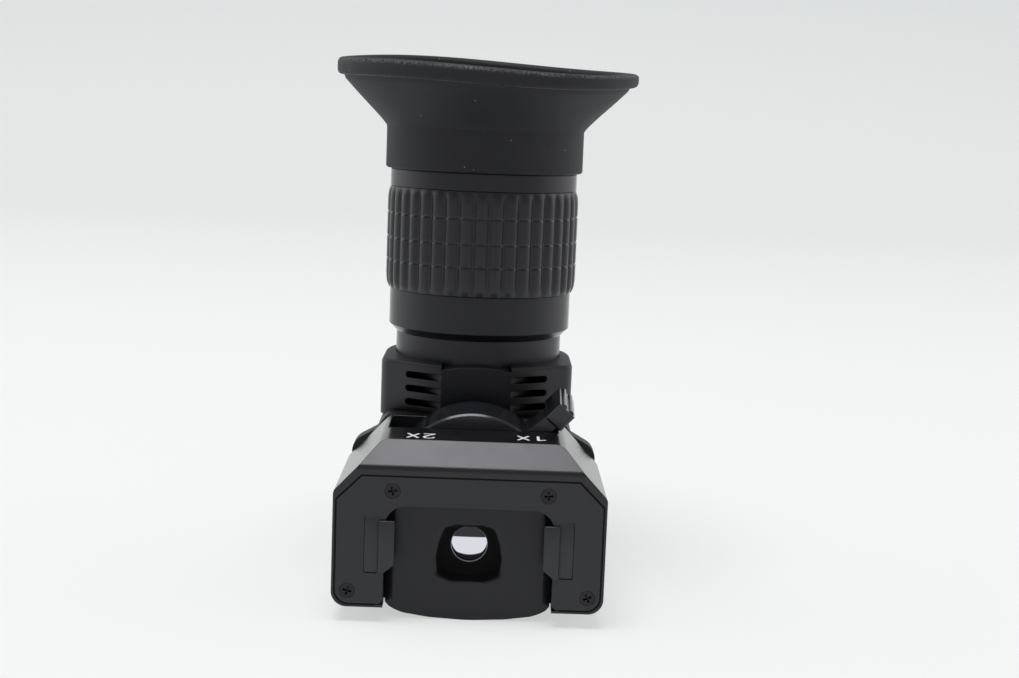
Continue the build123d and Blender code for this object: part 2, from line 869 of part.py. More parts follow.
def elbow_lower():
    front_view = mirrored_polygon(
        [
            (elbow_half_width, elbow_bottom),
            (elbow_half_width, elbow_shoulder_end_height),
            (elbow_shoulder_root_half_width, elbow_shoulder_root_height),
            (elbow_top_half_width, elbow_top),
        ]
    )
    front_view = fillet(front_view.vertices().group_by(Axis.Y)[0], elbow_sole_radius)
    front_view = fillet(front_view.vertices().group_by(Axis.Y)[-3], elbow_shoulder_radius)
    front_view = fillet(front_view.vertices().group_by(Axis.Y)[-1], elbow_top_corner_radius)
    flange_rear = elbow_front + elbow_flange_thickness
    flange = front_prism(front_view, elbow_front, flange_rear)
    flange = fillet(flange.faces().sort_by(Axis.Y)[-1].edges(), elbow_flange_edge)
    narrow = Pos(0, (elbow_bottom + elbow_top) / 2) * Rectangle(2 * tower_half_width, elbow_top - elbow_bottom)
    body = front_prism(front_view & narrow, elbow_front, elbow_rear) + flange
    foot = elbow_front + elbow_sole_length
    side_view = Polygon(
        (elbow_front, elbow_bottom),
        (foot, elbow_bottom),
        (elbow_rear, elbow_bottom + elbow_rear - foot),
        (elbow_rear, elbow_top),
        (elbow_front, elbow_top),
        align=None,
    )
    body &= side_prism(side_view, elbow_half_width + overrun)
    depth = elbow_rear - elbow_front
    plan = Pos(0, elbow_front + depth / 2) * Rectangle(2 * tower_half_width, depth)
    plan = fillet(plan.vertices().group_by(Axis.Y)[-1], elbow_rear_corner_radius)
    plan += Pos(0, elbow_front + elbow_flange_thickness / 2) * Rectangle(2 * elbow_half_width, elbow_flange_thickness)
    return body & upright_prism(plan, elbow_bottom - overrun, elbow_top + overrun)


def tower_plan():
    """The tower's plan: a flat facet in front, a wing on each side of it, and a round back."""
    wing_run = tower_half_width - tower_facet_half_width
    wing_end = elbow_front + wing_run * tan(radians(tower_wing_angle))
    front = mirrored_polygon(
        [(tower_facet_half_width, elbow_front), (tower_half_width, wing_end), (tower_half_width, barrel_y)]
    )
    front = fillet(front.vertices().group_by(Axis.Y)[1], tower_corner_radius)
    return front + Pos(0, barrel_y) * Circle(tower_half_width)


def tower_slot(side, height):
    """A slot cut into a wing: it deepens outwards and ends round."""
    angle = radians(tower_wing_angle + tower_slot_steepening)
    along = (side * cos(angle), sin(angle), 0)
    outward = (side * sin(angle), -cos(angle), 0)
    plane = Plane(origin=(side * tower_facet_half_width, elbow_front, height), x_dir=along, z_dir=outward)
    shape = Pos(tower_slot_length / 2, 0) * SlotOverall(tower_slot_length, tower_slot_height)
    return extrude(plane * shape, amount=elbow_half_width)


def tower_arch():
    """The gap between the facet's arched top and the tube behind it."""
    crown = tower_top - tower_notch_depth
    radius = (tower_facet_half_width**2 + tower_arch_rise**2) / (2 * tower_arch_rise)
    foot = crown - tower_arch_rise
    block = Pos(0, (foot + tower_top + overrun) / 2) * Rectangle(
        2 * tower_facet_half_width, tower_top + overrun - foot
    )
    return front_prism(block - Pos(0, crown - radius) * Circle(radius), elbow_front - overrun, barrel_y)


def elbow_housing():
    tower = upright_prism(tower_plan(), elbow_top - overrun, tower_top)
    tower = fillet(tower.faces().sort_by(Axis.Z)[-1].edges(), tower_edge_radius)
    body = elbow_lower() + tower
    for index in range(tower_slot_count):
        for side in (-1, 1):
            body -= tower_slot(side, tower_slot_lowest + index * tower_slot_pitch)
    body -= tower_arch()
    body -= chamber()
    body -= cover_block(seat_gap)
    body -= Pos(0, barrel_y, tower_socket_floor) * Cylinder(
        tube_radius + seat_gap, tower_top + overrun - tower_socket_floor, align=(Align.CENTER, Align.CENTER, Align.MIN)
    )
    body -= Pos(0, barrel_y, 0) * Cylinder(
        prism_half_width, tower_socket_floor + overrun, align=(Align.CENTER, Align.CENTER, Align.MIN)
    )
    wall_rear = elbow_front + elbow_front_wall
    body -= round_bar(spigot_radius + running_gap, elbow_front - overrun, wall_rear + overrun)
    body -= round_bar(spigot_radius + swivel_ring_width + turning_gap, wall_rear, spigot_end + turning_gap)
    for hole in cover_fasteners(seat_gap):
        body -= hole
    return body


def prism_block():
    """The roof prism: an upright entry face, a level exit face, and a roof of two faces in place of a mirror."""
    half = prism_leg / 2
    corner = Plane(origin=(0, barrel_y - half, half), x_dir=(1, 0, 0), z_dir=(0, 1, 1))
    ridge = prism_leg / sqrt(2)
    roof = Polygon(
        (0, ridge),
        (prism_half_width, ridge - prism_half_width),
        (prism_half_width, -overrun),
        (-prism_half_width, -overrun),
        (-prism_half_width, ridge - prism_half_width),
        align=None,
    )
    bar = extrude(corner * roof, amount=prism_leg, both=True)
    side = Polygon(
        (barrel_y - half, -half - overrun),
        (barrel_y + half + overrun, half),
        (barrel_y - half, half),
        align=None,
    )
    return bar & side_prism(side, prism_half_width)


def prism_saddle():
    """A block with a V that the prism's roof lies in; it stands on the cover's seat."""
    frame = slope_frame()
    half = prism_half_width + prism_side_gap - seat_gap
    length = cover_length() - 2 * cover_margin
    slab = Pos(0, cover_centre()) * Rectangle(2 * half, length)
    deep = extrude(frame.offset(-cover_thickness) * slab, amount=-saddle_rise)
    return (deep & chamber()) - prism_block()


def prism_mask():
    """A blackened plate on the exit face, with the round aperture."""
    half = prism_leg / 2
    far = barrel_y + half + chamber_rear_gap - seat_gap
    near = barrel_y - half
    plan = Pos(0, (near + far) / 2) * Rectangle(2 * (prism_half_width + prism_side_gap - seat_gap), far - near)
    plan -= Pos(0, barrel_y) * Circle(prism_aperture_radius)
    return upright_prism(plan, half, half + prism_mask_thickness)


def prism_cover():
    body = cover_block()
    for hole in cover_fasteners(seat_gap):
        body -= hole
    return body


# Barrel
def barrel_tube():
    bottom = tower_socket_floor
    body = barrel_tube_between(tube_bore, tube_radius, bottom, tube_top)
    travel = helix_pitch * dioptre_turn / full_turn
    half = travel + drive_pin_radius + running_gap
    slot = Pos(0, drive_pin_height) * SlotOverall(
        2 * half, 2 * (drive_pin_radius + running_gap), rotation=square_turn
    )
    return body - front_prism(slot, barrel_y, barrel_y + tube_radius + overrun)


def collar():
    inner = tube_radius + seat_gap
    return barrel_turned(
        [
            (inner, collar_bottom),
            (collar_radius - collar_chamfer, collar_bottom),
            (collar_radius, collar_bottom + collar_chamfer),
            (collar_radius, collar_top),
            (inner, collar_top),
        ]
    )


def relay_cell():
    outer = tube_bore - seat_gap
    bore = relay_lens_radius + seat_gap
    lip = relay_lens_radius - relay_lip
    seat = relay_cell_bottom + relay_lip
    top = relay_cell_bottom + relay_cell_height
    return barrel_turned(
        [(lip, relay_cell_bottom), (outer, relay_cell_bottom), (outer, top), (bore, top), (bore, seat), (lip, seat)]
    )


def relay_lens():
    plane = Plane(origin=(0, barrel_y, 0), x_dir=(1, 0, 0), z_dir=(0, -1, 0))
    return lens(relay_lens_radius, relay_lens_edge, relay_lens_sagitta, relay_cell_bottom + relay_lip, plane)


def field_stop():
    outer = tube_bore - seat_gap
    return barrel_tube_between(field_stop_radius, outer, field_stop_height, field_stop_height + field_stop_thickness)


def upper_band():
    """The band above the ring, with the slimmer seat that the eyecup is pushed over."""
    inner = tube_radius + seat_gap
    lip = tube_radius - seat_lip
    return barrel_turned(
        [
            (inner, band_bottom),
            (band_radius, band_bottom),
            (band_radius, band_top),
            (seat_radius, band_top),
            (seat_radius, seat_top),
            (lip, seat_top),
            (lip, tube_top + seat_gap),
            (inner, tube_top + seat_gap),
        ]
    )


# Dioptre ring
def rib_outline():
    """One rib's side view as (radius, height): v grooves between its bands and a long bevel at each end."""
    root = tube_radius + ring_root_wall / 2
    end = tube_radius + ring_end_wall
    top = tube_radius + ring_rib_wall
    points = [(root, ring_bottom), (end, ring_bottom), (top, ring_bottom + ring_end_bevel)]
    for share in ring_groove_shares:
        height = ring_bottom + share * ring_length
        points.append((top, height - ring_groove_half_width))
        points.append((tube_radius + ring_groove_wall, height))
        points.append((top, height + ring_groove_half_width))
    return points + [(top, ring_top - ring_end_bevel), (end, ring_top), (root, ring_top)]


def dioptre_ring():
    """A plain ring with straight ribs all round, and the drive groove inside."""
    root_radius = tube_radius + ring_root_wall
    body = barrel_tube_between(tube_radius + running_gap, root_radius, ring_bottom, ring_top)
    side_view = make_face(Polyline(*rib_outline(), close=True))
    half_width = pi * (tube_radius + ring_rib_wall) / rib_count - rib_gap_width / 2
    rib = extrude(Plane.XZ * side_view, amount=half_width, both=True)
    ribs = [Pos(0, barrel_y, 0) * Rot(0, 0, turn * full_turn / rib_count) * rib for turn in range(rib_count)]
    body += ribs
    return body - drive_groove()


def drive_groove():
    """The helical groove inside the ring: as the ring turns, it lifts or lowers the drive pin."""
    reach = dioptre_turn + drive_groove_end_angle
    height = helix_pitch * 2 * reach / full_turn
    path = Helix(helix_pitch, height, tube_radius, lefthand=True)
    foot = Vector(0, barrel_y, drive_pin_height - height / 2)
    path = Pos(foot) * Rot(0, 0, square_turn + reach) * path
    width = 2 * (drive_pin_radius + running_gap)
    section = Plane(origin=path @ 0, z_dir=path % 0, x_dir=path @ 0 - foot)
    shape = section * Rectangle(2 * drive_groove_depth, width)
    return sweep(shape, path=path, is_frenet=True)


# Ocular
def ocular_levels():
    """Heights of the stack in the ocular cell: field lens, spacer, eye lens, ring."""
    rim = cell_bore - seat_gap
    field = cell_bottom + cell_lip_height
    spacer = field + ocular_edge + bulge_height(rim, field_lens_sagitta, rim - spacer_wall) + seat_gap
    eye = spacer + spacer_length
    ring = eye + ocular_edge + bulge_height(rim, eye_lens_sagitta, rim - spacer_wall) + seat_gap
    return field, spacer, eye, ring


def ocular_cell():
    lip = cell_bore - cell_lip
    seat = cell_bottom + cell_lip_height
    body = barrel_turned(
        [
            (lip, cell_bottom),
            (cell_radius, cell_bottom),
            (cell_radius, cell_top),
            (cell_bore, cell_top),
            (cell_bore, seat),
            (lip, seat),
        ]
    )
    wall_far = barrel_y + cell_radius + overrun
    return body - round_bar(drive_pin_radius + seat_gap, barrel_y, wall_far, 0, drive_pin_height)


def drive_pin():
    """The pin's inner end is flush with the cell's bore, and its tip runs in the ring's groove."""
    pin = round_bar(drive_pin_radius, barrel_y + cell_bore, barrel_y + drive_pin_tip, 0, drive_pin_height)
    return pin - barrel_tube_between(0, cell_bore, cell_bottom, cell_top)


def ocular_lens(start, sagitta):
    plane = Plane(origin=(0, barrel_y, 0), x_dir=(1, 0, 0), z_dir=(0, -1, 0))
    return lens(cell_bore - seat_gap, ocular_edge, sagitta, start, plane)


def lens_spacer():
    outer = cell_bore - seat_gap
    _, spacer, eye, _ = ocular_levels()
    return barrel_tube_between(outer - spacer_wall, outer, spacer, eye)


def ocular_ring():
    outer = cell_bore - seat_gap
    ring = ocular_levels()[-1]
    return barrel_tube_between(outer - spacer_wall, outer, ring, ring + ocular_ring_height)


# Eyecup
def cup_plane(height, tilt):
    """A plane across the barrel, tilted up at the back."""
    lean = radians(tilt)
    return Plane(origin=(0, barrel_y, height), x_dir=(1, 0, 0), z_dir=(0, -sin(lean), cos(lean)))


def cup_loft(radii, heights, ruled=False):
    """A flare through circles that take up the rim's tilt step by step."""
    rise = heights[-1] - heights[0]
    circles = [
        cup_plane(height, cup_tilt * (height - heights[0]) / rise) * Circle(radius)
        for radius, height in zip(radii, heights)
    ]
    return loft(circles, ruled=ruled)


def cup_bead():
    """The rim's bead, a many-sided roll about the tilted axis."""
    rim = cup_plane(cup_rim_height, cup_tilt)
    section = Plane(origin=rim.origin, x_dir=rim.x_dir, z_dir=-rim.y_dir)
    roll = section * Pos(cup_rim_radius, 0) * RegularPolygon(cup_bead_radius, cup_bead_sides)
    return revolve(roll, axis=Axis(rim.origin, rim.z_dir))


def eyecup():
    bottom = band_top + turning_gap
    lip_bottom = seat_top + turning_gap
    body = barrel_tube_between(0, cup_neck_radius, bottom, cup_neck_top + cup_neck_lap)
    radii = [cup_neck_radius, cup_flare_low_radius, cup_flare_high_radius, cup_rim_radius]
    heights = [cup_neck_top, cup_flare_low_height, cup_flare_high_height, cup_rim_height]
    body += cup_loft(radii, heights)
    body += cup_bead()
    inner_radii = [radius - cup_wall for radius in radii[:-1]] + [cup_rim_radius - cup_bead_radius]
    inner_heights = [cup_neck_top + cup_lip_height] + [height + cup_wall / 2 for height in heights[1:]]
    body -= cup_loft(inner_radii, inner_heights, ruled=True)
    body -= barrel_tube_between(0, seat_radius + running_gap, bottom - overrun, lip_bottom)
    return body - barrel_tube_between(0, cup_lip_radius, bottom, inner_heights[0] + overrun)


def parts():
    field, _, eye, _ = ocular_levels()
    return {
        "front_housing": front_housing(),
        "mount_plate": mount_plate(),
        "plate_screws": Compound(plate_fasteners()),
        "clip_left": rail_clip(-1),
        "clip_right": rail_clip(1),
        "window_panel": window_panel(),
        "objective_cell": objective_cell(),
        "objective_lens": objective_lens(),
        "objective_ring": objective_ring(),
        "lever_pivot": lever_pivot(),
        "click_spring": click_spring(),
        "swivel_spigot": swivel_spigot(),
        "spigot_screws": Compound(spigot_fasteners()),
        "swivel_ring": swivel_ring(),
        "lens_drum": lens_drum(),
        "lever_arm": lever_arm(),
        "thumb_knob": thumb_knob(),
        "lens_1x": turret_lens(0),
        "lens_2x": turret_lens(1),
        "elbow_housing": elbow_housing(),
        "roof_prism": prism_block(),
        "prism_saddle": prism_saddle(),
        "prism_mask": prism_mask(),
        "prism_cover": prism_cover(),
        "cover_screws": Compound(cover_fasteners()),
        "barrel_tube": barrel_tube(),
        "collar": collar(),
        "relay_cell": relay_cell(),
        "relay_lens": relay_lens(),
        "field_stop": field_stop(),
        "upper_band": upper_band(),
        "dioptre_ring": dioptre_ring(),
        "ocular_cell": ocular_cell(),
        "field_lens": ocular_lens(field, field_lens_sagitta),
        "lens_spacer": lens_spacer(),
        "eye_lens": ocular_lens(eye, eye_lens_sagitta),
        "ocular_ring": ocular_ring(),
        "drive_pin": drive_pin(),
        "eyecup": eyecup(),
    }


os.makedirs("parts", exist_ok=True)
for name, shape in parts().items():
    export_step(shape, f"parts/{name}.step")
    print(name, round(shape.volume, 2))
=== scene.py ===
# %% [markdown]
# # A right angle viewfinder
# The object is a black angle finder for a camera: a housing that slides on the camera's eyepiece, a lever that
# swaps two lenses, an elbow with a prism, and an upright barrel with a ribbed focusing ring and a rubber eyecup.
# The solid model is already in the right place and size, in metres. This lesson dresses it: each piece gets the
# finish that the real one has, and the pieces that a solid model can't do well, such as soft rubber, are made here.

import json
import math

import bmesh
import bpy
from mathutils import Matrix, Vector


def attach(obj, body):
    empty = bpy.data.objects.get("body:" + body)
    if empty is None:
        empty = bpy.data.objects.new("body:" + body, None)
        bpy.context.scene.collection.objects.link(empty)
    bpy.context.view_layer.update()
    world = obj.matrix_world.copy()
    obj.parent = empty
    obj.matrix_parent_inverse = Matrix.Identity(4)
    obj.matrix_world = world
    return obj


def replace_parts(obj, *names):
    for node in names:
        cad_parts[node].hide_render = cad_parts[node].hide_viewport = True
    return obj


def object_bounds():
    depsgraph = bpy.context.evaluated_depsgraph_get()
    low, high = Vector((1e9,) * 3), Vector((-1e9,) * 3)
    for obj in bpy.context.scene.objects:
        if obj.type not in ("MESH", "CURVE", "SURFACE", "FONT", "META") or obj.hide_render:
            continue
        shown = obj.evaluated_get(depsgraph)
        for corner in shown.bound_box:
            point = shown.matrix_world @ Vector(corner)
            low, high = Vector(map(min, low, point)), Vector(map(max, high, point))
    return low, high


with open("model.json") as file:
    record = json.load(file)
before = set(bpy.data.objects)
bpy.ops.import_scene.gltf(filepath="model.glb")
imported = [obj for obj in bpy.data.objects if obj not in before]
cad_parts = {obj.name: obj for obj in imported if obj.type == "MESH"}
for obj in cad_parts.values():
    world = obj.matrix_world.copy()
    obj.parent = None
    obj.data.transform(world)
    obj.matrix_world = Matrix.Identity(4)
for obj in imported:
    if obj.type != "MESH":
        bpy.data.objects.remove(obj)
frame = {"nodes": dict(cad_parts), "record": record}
solid_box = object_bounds()
solids = frame["nodes"]

# %% [markdown]
# ## Sizes
# A maker's drawing is in millimetres and Blender's unit is the metre, so one value turns one into the other.
# The sizes that follow are those of the solid model, because every piece made here sits on it. Its x goes across,
# its y back along the optical axis, and its z up along the barrel.

# %% Sizes of the object
mm = 0.001
barrel_axis = 40.0
floor_height = solid_box[0][2]
print("it stands at", round(floor_height / mm, 2), "mm")

# %% [markdown]
# ## Camera
# The photograph was taken from the front and a little above, looking down by eight degrees. The camera's place was
# worked out from points whose places on the object are known. It leans by two degrees about its own axis, and looks
# aside by less than one, because the object stands a little left of the photo's middle.

# %% Make the camera
photo_width = 1019
focal_pixels = 1550.0
camera_data = bpy.data.cameras.new("photo_camera")
camera_data.sensor_width = 36.0
camera_data.lens = focal_pixels / photo_width * camera_data.sensor_width
camera_data.clip_start = 0.01
camera = bpy.data.objects.new("photo_camera", camera_data)
bpy.context.scene.collection.objects.link(camera)
tilt, lean, look_aside = math.radians(90 - 8.07), math.radians(2.2), math.radians(-0.754)
turn = Matrix.Rotation(look_aside, 4, "Z") @ Matrix.Rotation(tilt, 4, "X") @ Matrix.Rotation(lean, 4, "Z")
camera_place = Vector((1.8, -212.0, 60.1)) * mm
camera.matrix_world = Matrix.Translation(camera_place) @ turn
bpy.context.scene.camera = camera
bpy.context.scene.view_settings.view_transform = "Standard"
print("lens of", round(camera_data.lens, 1), "mm")

# %% [markdown]
# ## Colours and nodes
# Colours are written as on a screen, in sRGB hex. Blender's shaders count light, which is linear, so one function
# turns one into the other. Another adds a node, sets it up and links it, which keeps the trees short. Its inputs may
# be values, sockets, or whole nodes, which stand for their first output.

# %% Colour and node helpers
def tone(code):
    """An sRGB hex colour as linear red, green, blue and alpha."""
    parts = [int(code[i:i + 2], 16) / 255 for i in (1, 3, 5)]
    return tuple(c / 12.92 if c <= 0.04045 else ((c + 0.055) / 1.055) ** 2.4 for c in parts) + (1.0,)


def join(tree, made, inputs):
    """Sets or links a node's inputs: by name or number in a dictionary, or else the first ones in order."""
    for key, value in inputs.items() if isinstance(inputs, dict) else enumerate(inputs):
        if isinstance(value, bpy.types.Node):
            value = value.outputs[0]
        if isinstance(value, bpy.types.NodeSocket):
            tree.links.new(value, made.inputs[key])
        else:
            made.inputs[key].default_value = value
    return made


def add(tree, kind, inputs=None, **settings):
    """A new node in the tree, set up and joined."""
    made = tree.nodes.new(kind)
    for key, value in settings.items():
        setattr(made, key, value)
    return join(tree, made, inputs or {})


print("black plastic", [round(c, 3) for c in tone("#1d1e20")])

# %% [markdown]
# Every finish starts with one principled shader, whose own sockets take what is the same all over. Real surfaces
# are never one flat tone, so most of them also get two close tones in soft patches.

# %% Start a finish
def new_finish(name, **values):
    """A material with one principled shader, whose own sockets are set by name."""
    made = bpy.data.materials.new(name)
    made.use_nodes = True
    made.node_tree.nodes.clear()
    shader = add(made.node_tree, "ShaderNodeBsdfPrincipled", values)
    add(made.node_tree, "ShaderNodeOutputMaterial", {"Surface": shader})
    return made, made.node_tree, shader


def shader_of(finish):
    """A finish's tree and its principled shader."""
    return finish.node_tree, next(n for n in finish.node_tree.nodes if n.type == "BSDF_PRINCIPLED")


def per_metre(size):
    """How many of a pattern of this size, in millimetres, go in a metre: the scale of a noise or a wave."""
    return 1.0 / (size * mm)


def mottled(tree, shader, size, low, high):
    """Two tones in soft patches of this size. Gives the places on the piece, and the patches."""
    place = add(tree, "ShaderNodeTexCoord").outputs["Object"]
    patches = add(tree, "ShaderNodeTexNoise", {"Vector": place, "Scale": per_metre(size), "Detail": 3.0})
    tones = add(tree, "ShaderNodeMix", {"Factor": patches, "A": tone(low), "B": tone(high)}, data_type="RGBA")
    join(tree, shader, {"Base Color": tones.outputs["Result"]})
    return place, patches


print("a grain of 0.16 mm has a scale of", per_metre(0.16))

# %% [markdown]
# ## Moulded black plastic
# The housing, elbow and lever are injection moulded in black ABS with glass, in a mould that was spark eroded. That
# leaves a fine even grain, which breaks the shine into a satin grey. The grain is under 0.1 mm; it is drawn at
# 0.16 mm so that it shows. Seen aslant, the grain hides less, so the gloss grows there. Real corners are rounded by
# 0.2 mm, and a bevel in the shading gives them their thin line of light.

# %% Moulded plastic
patch_size = 4.0


def grained(name, low, high, grain, rough, depth, corner, grazing=0.4, **values):
    """A moulded or painted finish. Grain, its depth and the corners are in millimetres; grazing is how much of the
    roughness is left where the surface is seen aslant."""
    values = {"Specular IOR Level": 0.57, "Specular Tint": tone("#f6f5fc"), **values}
    made, tree, shader = new_finish(name, **values)
    place, patches = mottled(tree, shader, patch_size, low, high)
    facing = add(tree, "ShaderNodeLayerWeight", {"Blend": 0.5})
    gloss = add(tree, "ShaderNodeMapRange", {"Value": facing.outputs["Facing"], "From Min": 0.6, "From Max": 0.95,
                                            "To Min": 1.0, "To Max": grazing})
    shine = add(tree, "ShaderNodeMapRange", {"Value": patches, "To Min": rough - 0.04, "To Max": rough + 0.05})
    polish = add(tree, "ShaderNodeMath", (shine, gloss), operation="MULTIPLY")
    speck = add(tree, "ShaderNodeTexNoise", {"Vector": place, "Scale": per_metre(grain), "Detail": 2.0})
    corners = add(tree, "ShaderNodeBevel", {"Radius": corner * mm}, samples=4)
    relief = add(tree, "ShaderNodeBump", {"Height": speck, "Strength": 0.35, "Distance": depth * mm,
                                         "Normal": corners})
    join(tree, shader, {"Roughness": polish, "Normal": relief})
    return made


# Glass-filled ABS from a spark-eroded mould: an even satin grey where light falls flat on it.
moulded_abs = grained("spark_grained_black_abs", "#0e0f11", "#131416", 0.16, 0.33, 0.02, 0.22)
# The lever's mould is smoother and fingers polish it: a paler, glossier black.
lever_abs = grained("smooth_black_abs_lever", "#1b1c20", "#222327", 0.14, 0.22, 0.01, 0.16)
# The panel's mould has a finer, duller skin: a darker black round the window.
panel_abs = grained("satin_black_abs_panel", "#0c0d0f", "#111214", 0.16, 0.36, 0.02, 0.22,
                    **{"Specular IOR Level": 0.44})
# The ring is coarser, for grip: a dull soft grey, which shines only in its grooves.
ring_abs = grained("moulded_black_grip_plastic", "#0f1012", "#141517", 0.2, 0.42, 0.02, 0.12)
# The elbow's mould is coarser than the housing's, so it stays matt even where it is seen aslant.
elbow_abs = grained("spark_grained_black_abs_elbow", "#0e0f11", "#131416", 0.16, 0.42, 0.02, 0.22, grazing=1.2)
print("moulded finishes:", moulded_abs.name, ring_abs.name)

# %% [markdown]
# The elbow's tower has six narrow slots, and its front stands behind the marks. Both are duller than the rest. An
# Ambient Occlusion node tells how much open sky a place sees, and so finds the slots by itself. In them it also
# darkens the colour towards black: painted shade.

# %% Dull the elbow's slots and front, with painted shade in the slots
def dull_and_shade_hollows(finish, reach):
    """Takes the gloss off narrow slots, where no cloth reaches, and darkens them with painted shade."""
    tree, shader = shader_of(finish)
    open_sky = add(tree, "ShaderNodeAmbientOcclusion", {"Distance": reach * mm}, only_local=True, samples=6)
    free = add(tree, "ShaderNodeMapRange", {"Value": open_sky.outputs["AO"], "From Min": 0.5, "From Max": 0.92,
                                           "To Min": 0.02, "To Max": 0.6})
    # In the open the gloss is 0.6, and 1.7 times that keeps the whole unshaded tone; below it the painted shade
    # darkens it.
    unshaded_share = add(tree, "ShaderNodeMath", (free, 1.7), operation="MULTIPLY")
    unshaded_tone = shader.inputs["Base Color"].links[0].from_socket
    # Painted shade: the colour goes towards black where the slots see little open sky.
    darker = add(tree, "ShaderNodeMix", {"Factor": unshaded_share, "A": tone("#030303"), "B": unshaded_tone}, data_type="RGBA")
    join(tree, shader, {"Base Color": darker.outputs["Result"], "Specular IOR Level": free})


def matt_front(finish, inner, outer, bottom, top, dulled):
    """Takes this share of the gloss off between two heights, fully as far aside as inner and not at all past outer."""
    tree, shader = shader_of(finish)
    spot = add(tree, "ShaderNodeSeparateXYZ", {"Vector": add(tree, "ShaderNodeTexCoord").outputs["Object"]})
    aside = add(tree, "ShaderNodeMath", {0: spot.outputs["X"]}, operation="ABSOLUTE")
    side = add(tree, "ShaderNodeMapRange", {"Value": aside, "From Min": inner * mm, "From Max": outer * mm,
                                           "To Min": dulled, "To Max": 0.0}, interpolation_type="SMOOTHSTEP")
    above = add(tree, "ShaderNodeMath", (spot.outputs["Z"], bottom * mm), operation="GREATER_THAN")
    below = add(tree, "ShaderNodeMath", (spot.outputs["Z"], top * mm), operation="LESS_THAN")
    within = add(tree, "ShaderNodeMath", (above, below), operation="MULTIPLY")
    taken = add(tree, "ShaderNodeMath", (side, within), operation="MULTIPLY")
    kept = add(tree, "ShaderNodeMath", (1.0, taken), operation="SUBTRACT")
    shine = shader.inputs["Specular IOR Level"].links[0].from_socket
    dull = add(tree, "ShaderNodeMath", (shine, kept), operation="MULTIPLY")
    join(tree, shader, {"Specular IOR Level": dull})


dull_and_shade_hollows(elbow_abs, reach=3.2)
matt_front(elbow_abs, inner=5.0, outer=12.0, bottom=9.0, top=27.5, dulled=0.5)
print("the elbow's finish has", len(elbow_abs.node_tree.nodes), "nodes")

# %% [markdown]
# ## Black metal
# The mount plate is pressed steel with a stoved matt enamel, smoother than the plastic round it. The two clips are
# spring steel, blackened in oil, and the screws are zinc plated and blackened. The barrel is turned aluminium, bead
# blasted and anodised. All of them are fine grained; the grain is drawn at 0.12 to 0.3 mm so that it shows.

# %% Black metal finishes
# Stoved enamel: a level, slightly paler black with no sparkle.
plate_enamel = grained("stoved_matt_black_enamel", "#17181a", "#1b1c1e", 0.3, 0.42, 0.012, 0.12)
# Oil-blackened steel: a bluish grey black, the palest of the blacks.
clip_black = grained("oil_blackened_spring_steel", "#2a2b2e", "#323336", 0.25, 0.36, 0.01, 0.1, Metallic=0.35)
# Black zinc: small bright glints on the edges of the cross.
screw_black = grained("black_zinc_screw", "#1b1b1d", "#252527", 0.2, 0.34, 0.01, 0.06, Metallic=0.5)
# Bead-blasted anodising: a soft silky sheen along the barrel.
anodised = grained("bead_blasted_black_anodising", "#0f1012", "#141517", 0.12, 0.4, 0.012, 0.12, Metallic=0.2)
# Ground steel: bright and clear, on the lever's pivot and the baffle's bare edge.
steel = grained("ground_steel", "#8b8d90", "#9a9c9f", 0.2, 0.3, 0.01, 0.1, Metallic=1.0)
# Turned brass: a warm yellow shine, on the drive pin inside.
brass = grained("turned_brass", "#a8863f", "#bd9a4e", 0.2, 0.28, 0.01, 0.1, Metallic=1.0)
print("metal finishes:", plate_enamel.name, clip_black.name, screw_black.name, anodised.name)

# %% [markdown]
# ## Glass
# The lenses and the prism are polished optical glass with one anti-reflection layer, which leaves a faint
# violet-blue cast. It has no roughness, apart from a few patches of faint dust.

# %% Coated glass
coated_glass, glass_tree, glass_shader = new_finish(
    "coated_optical_glass", IOR=1.52, **{"Transmission Weight": 1.0, "Base Color": tone("#f4f6fb")})
glass_place = add(glass_tree, "ShaderNodeTexCoord").outputs["Object"]
glass_dust = add(glass_tree, "ShaderNodeTexNoise", {"Vector": glass_place, "Scale": per_metre(0.5), "Detail": 4.0})
dust_shine = add(glass_tree, "ShaderNodeMapRange", {"Value": glass_dust, "From Min": 0.55, "From Max": 0.8,
                                                   "To Min": 0.0, "To Max": 0.06})
join(glass_tree, glass_shader, {"Roughness": dust_shine})
print("glass:", coated_glass.name)

# %% [markdown]
# ## Rubber
# The eyecup is moulded in soft black rubber. It is matt, slightly paler where it has been handled, and it holds
# dust. A noise gives the skin, and a pattern of cells, of which a few keep a small spot, gives single specks. More
# dust lies on the rim's edges, where an attribute of the mesh says how much, and a ragged noise breaks it up.

# %% Rubber skin
rubber, rubber_tree, rubber_shader = new_finish("moulded_soft_black_rubber",
                                                **{"Specular Tint": tone("#f2f1fc")})
rubber_place, bloom = mottled(rubber_tree, rubber_shader, 6.0, "#121315", "#191a1d")
clean_rubber = rubber_shader.inputs["Base Color"].links[0].from_socket
skin = add(rubber_tree, "ShaderNodeTexNoise", {"Vector": rubber_place, "Scale": per_metre(0.5), "Detail": 5.0})
rubber_relief = add(rubber_tree, "ShaderNodeBump", {"Height": skin, "Strength": 0.4, "Distance": 0.05 * mm})
rubber_rough = add(rubber_tree, "ShaderNodeMapRange", {"Value": bloom, "To Min": 0.6, "To Max": 0.75})
join(rubber_tree, rubber_shader, {"Roughness": rubber_rough, "Normal": rubber_relief})
print("rubber:", rubber.name)

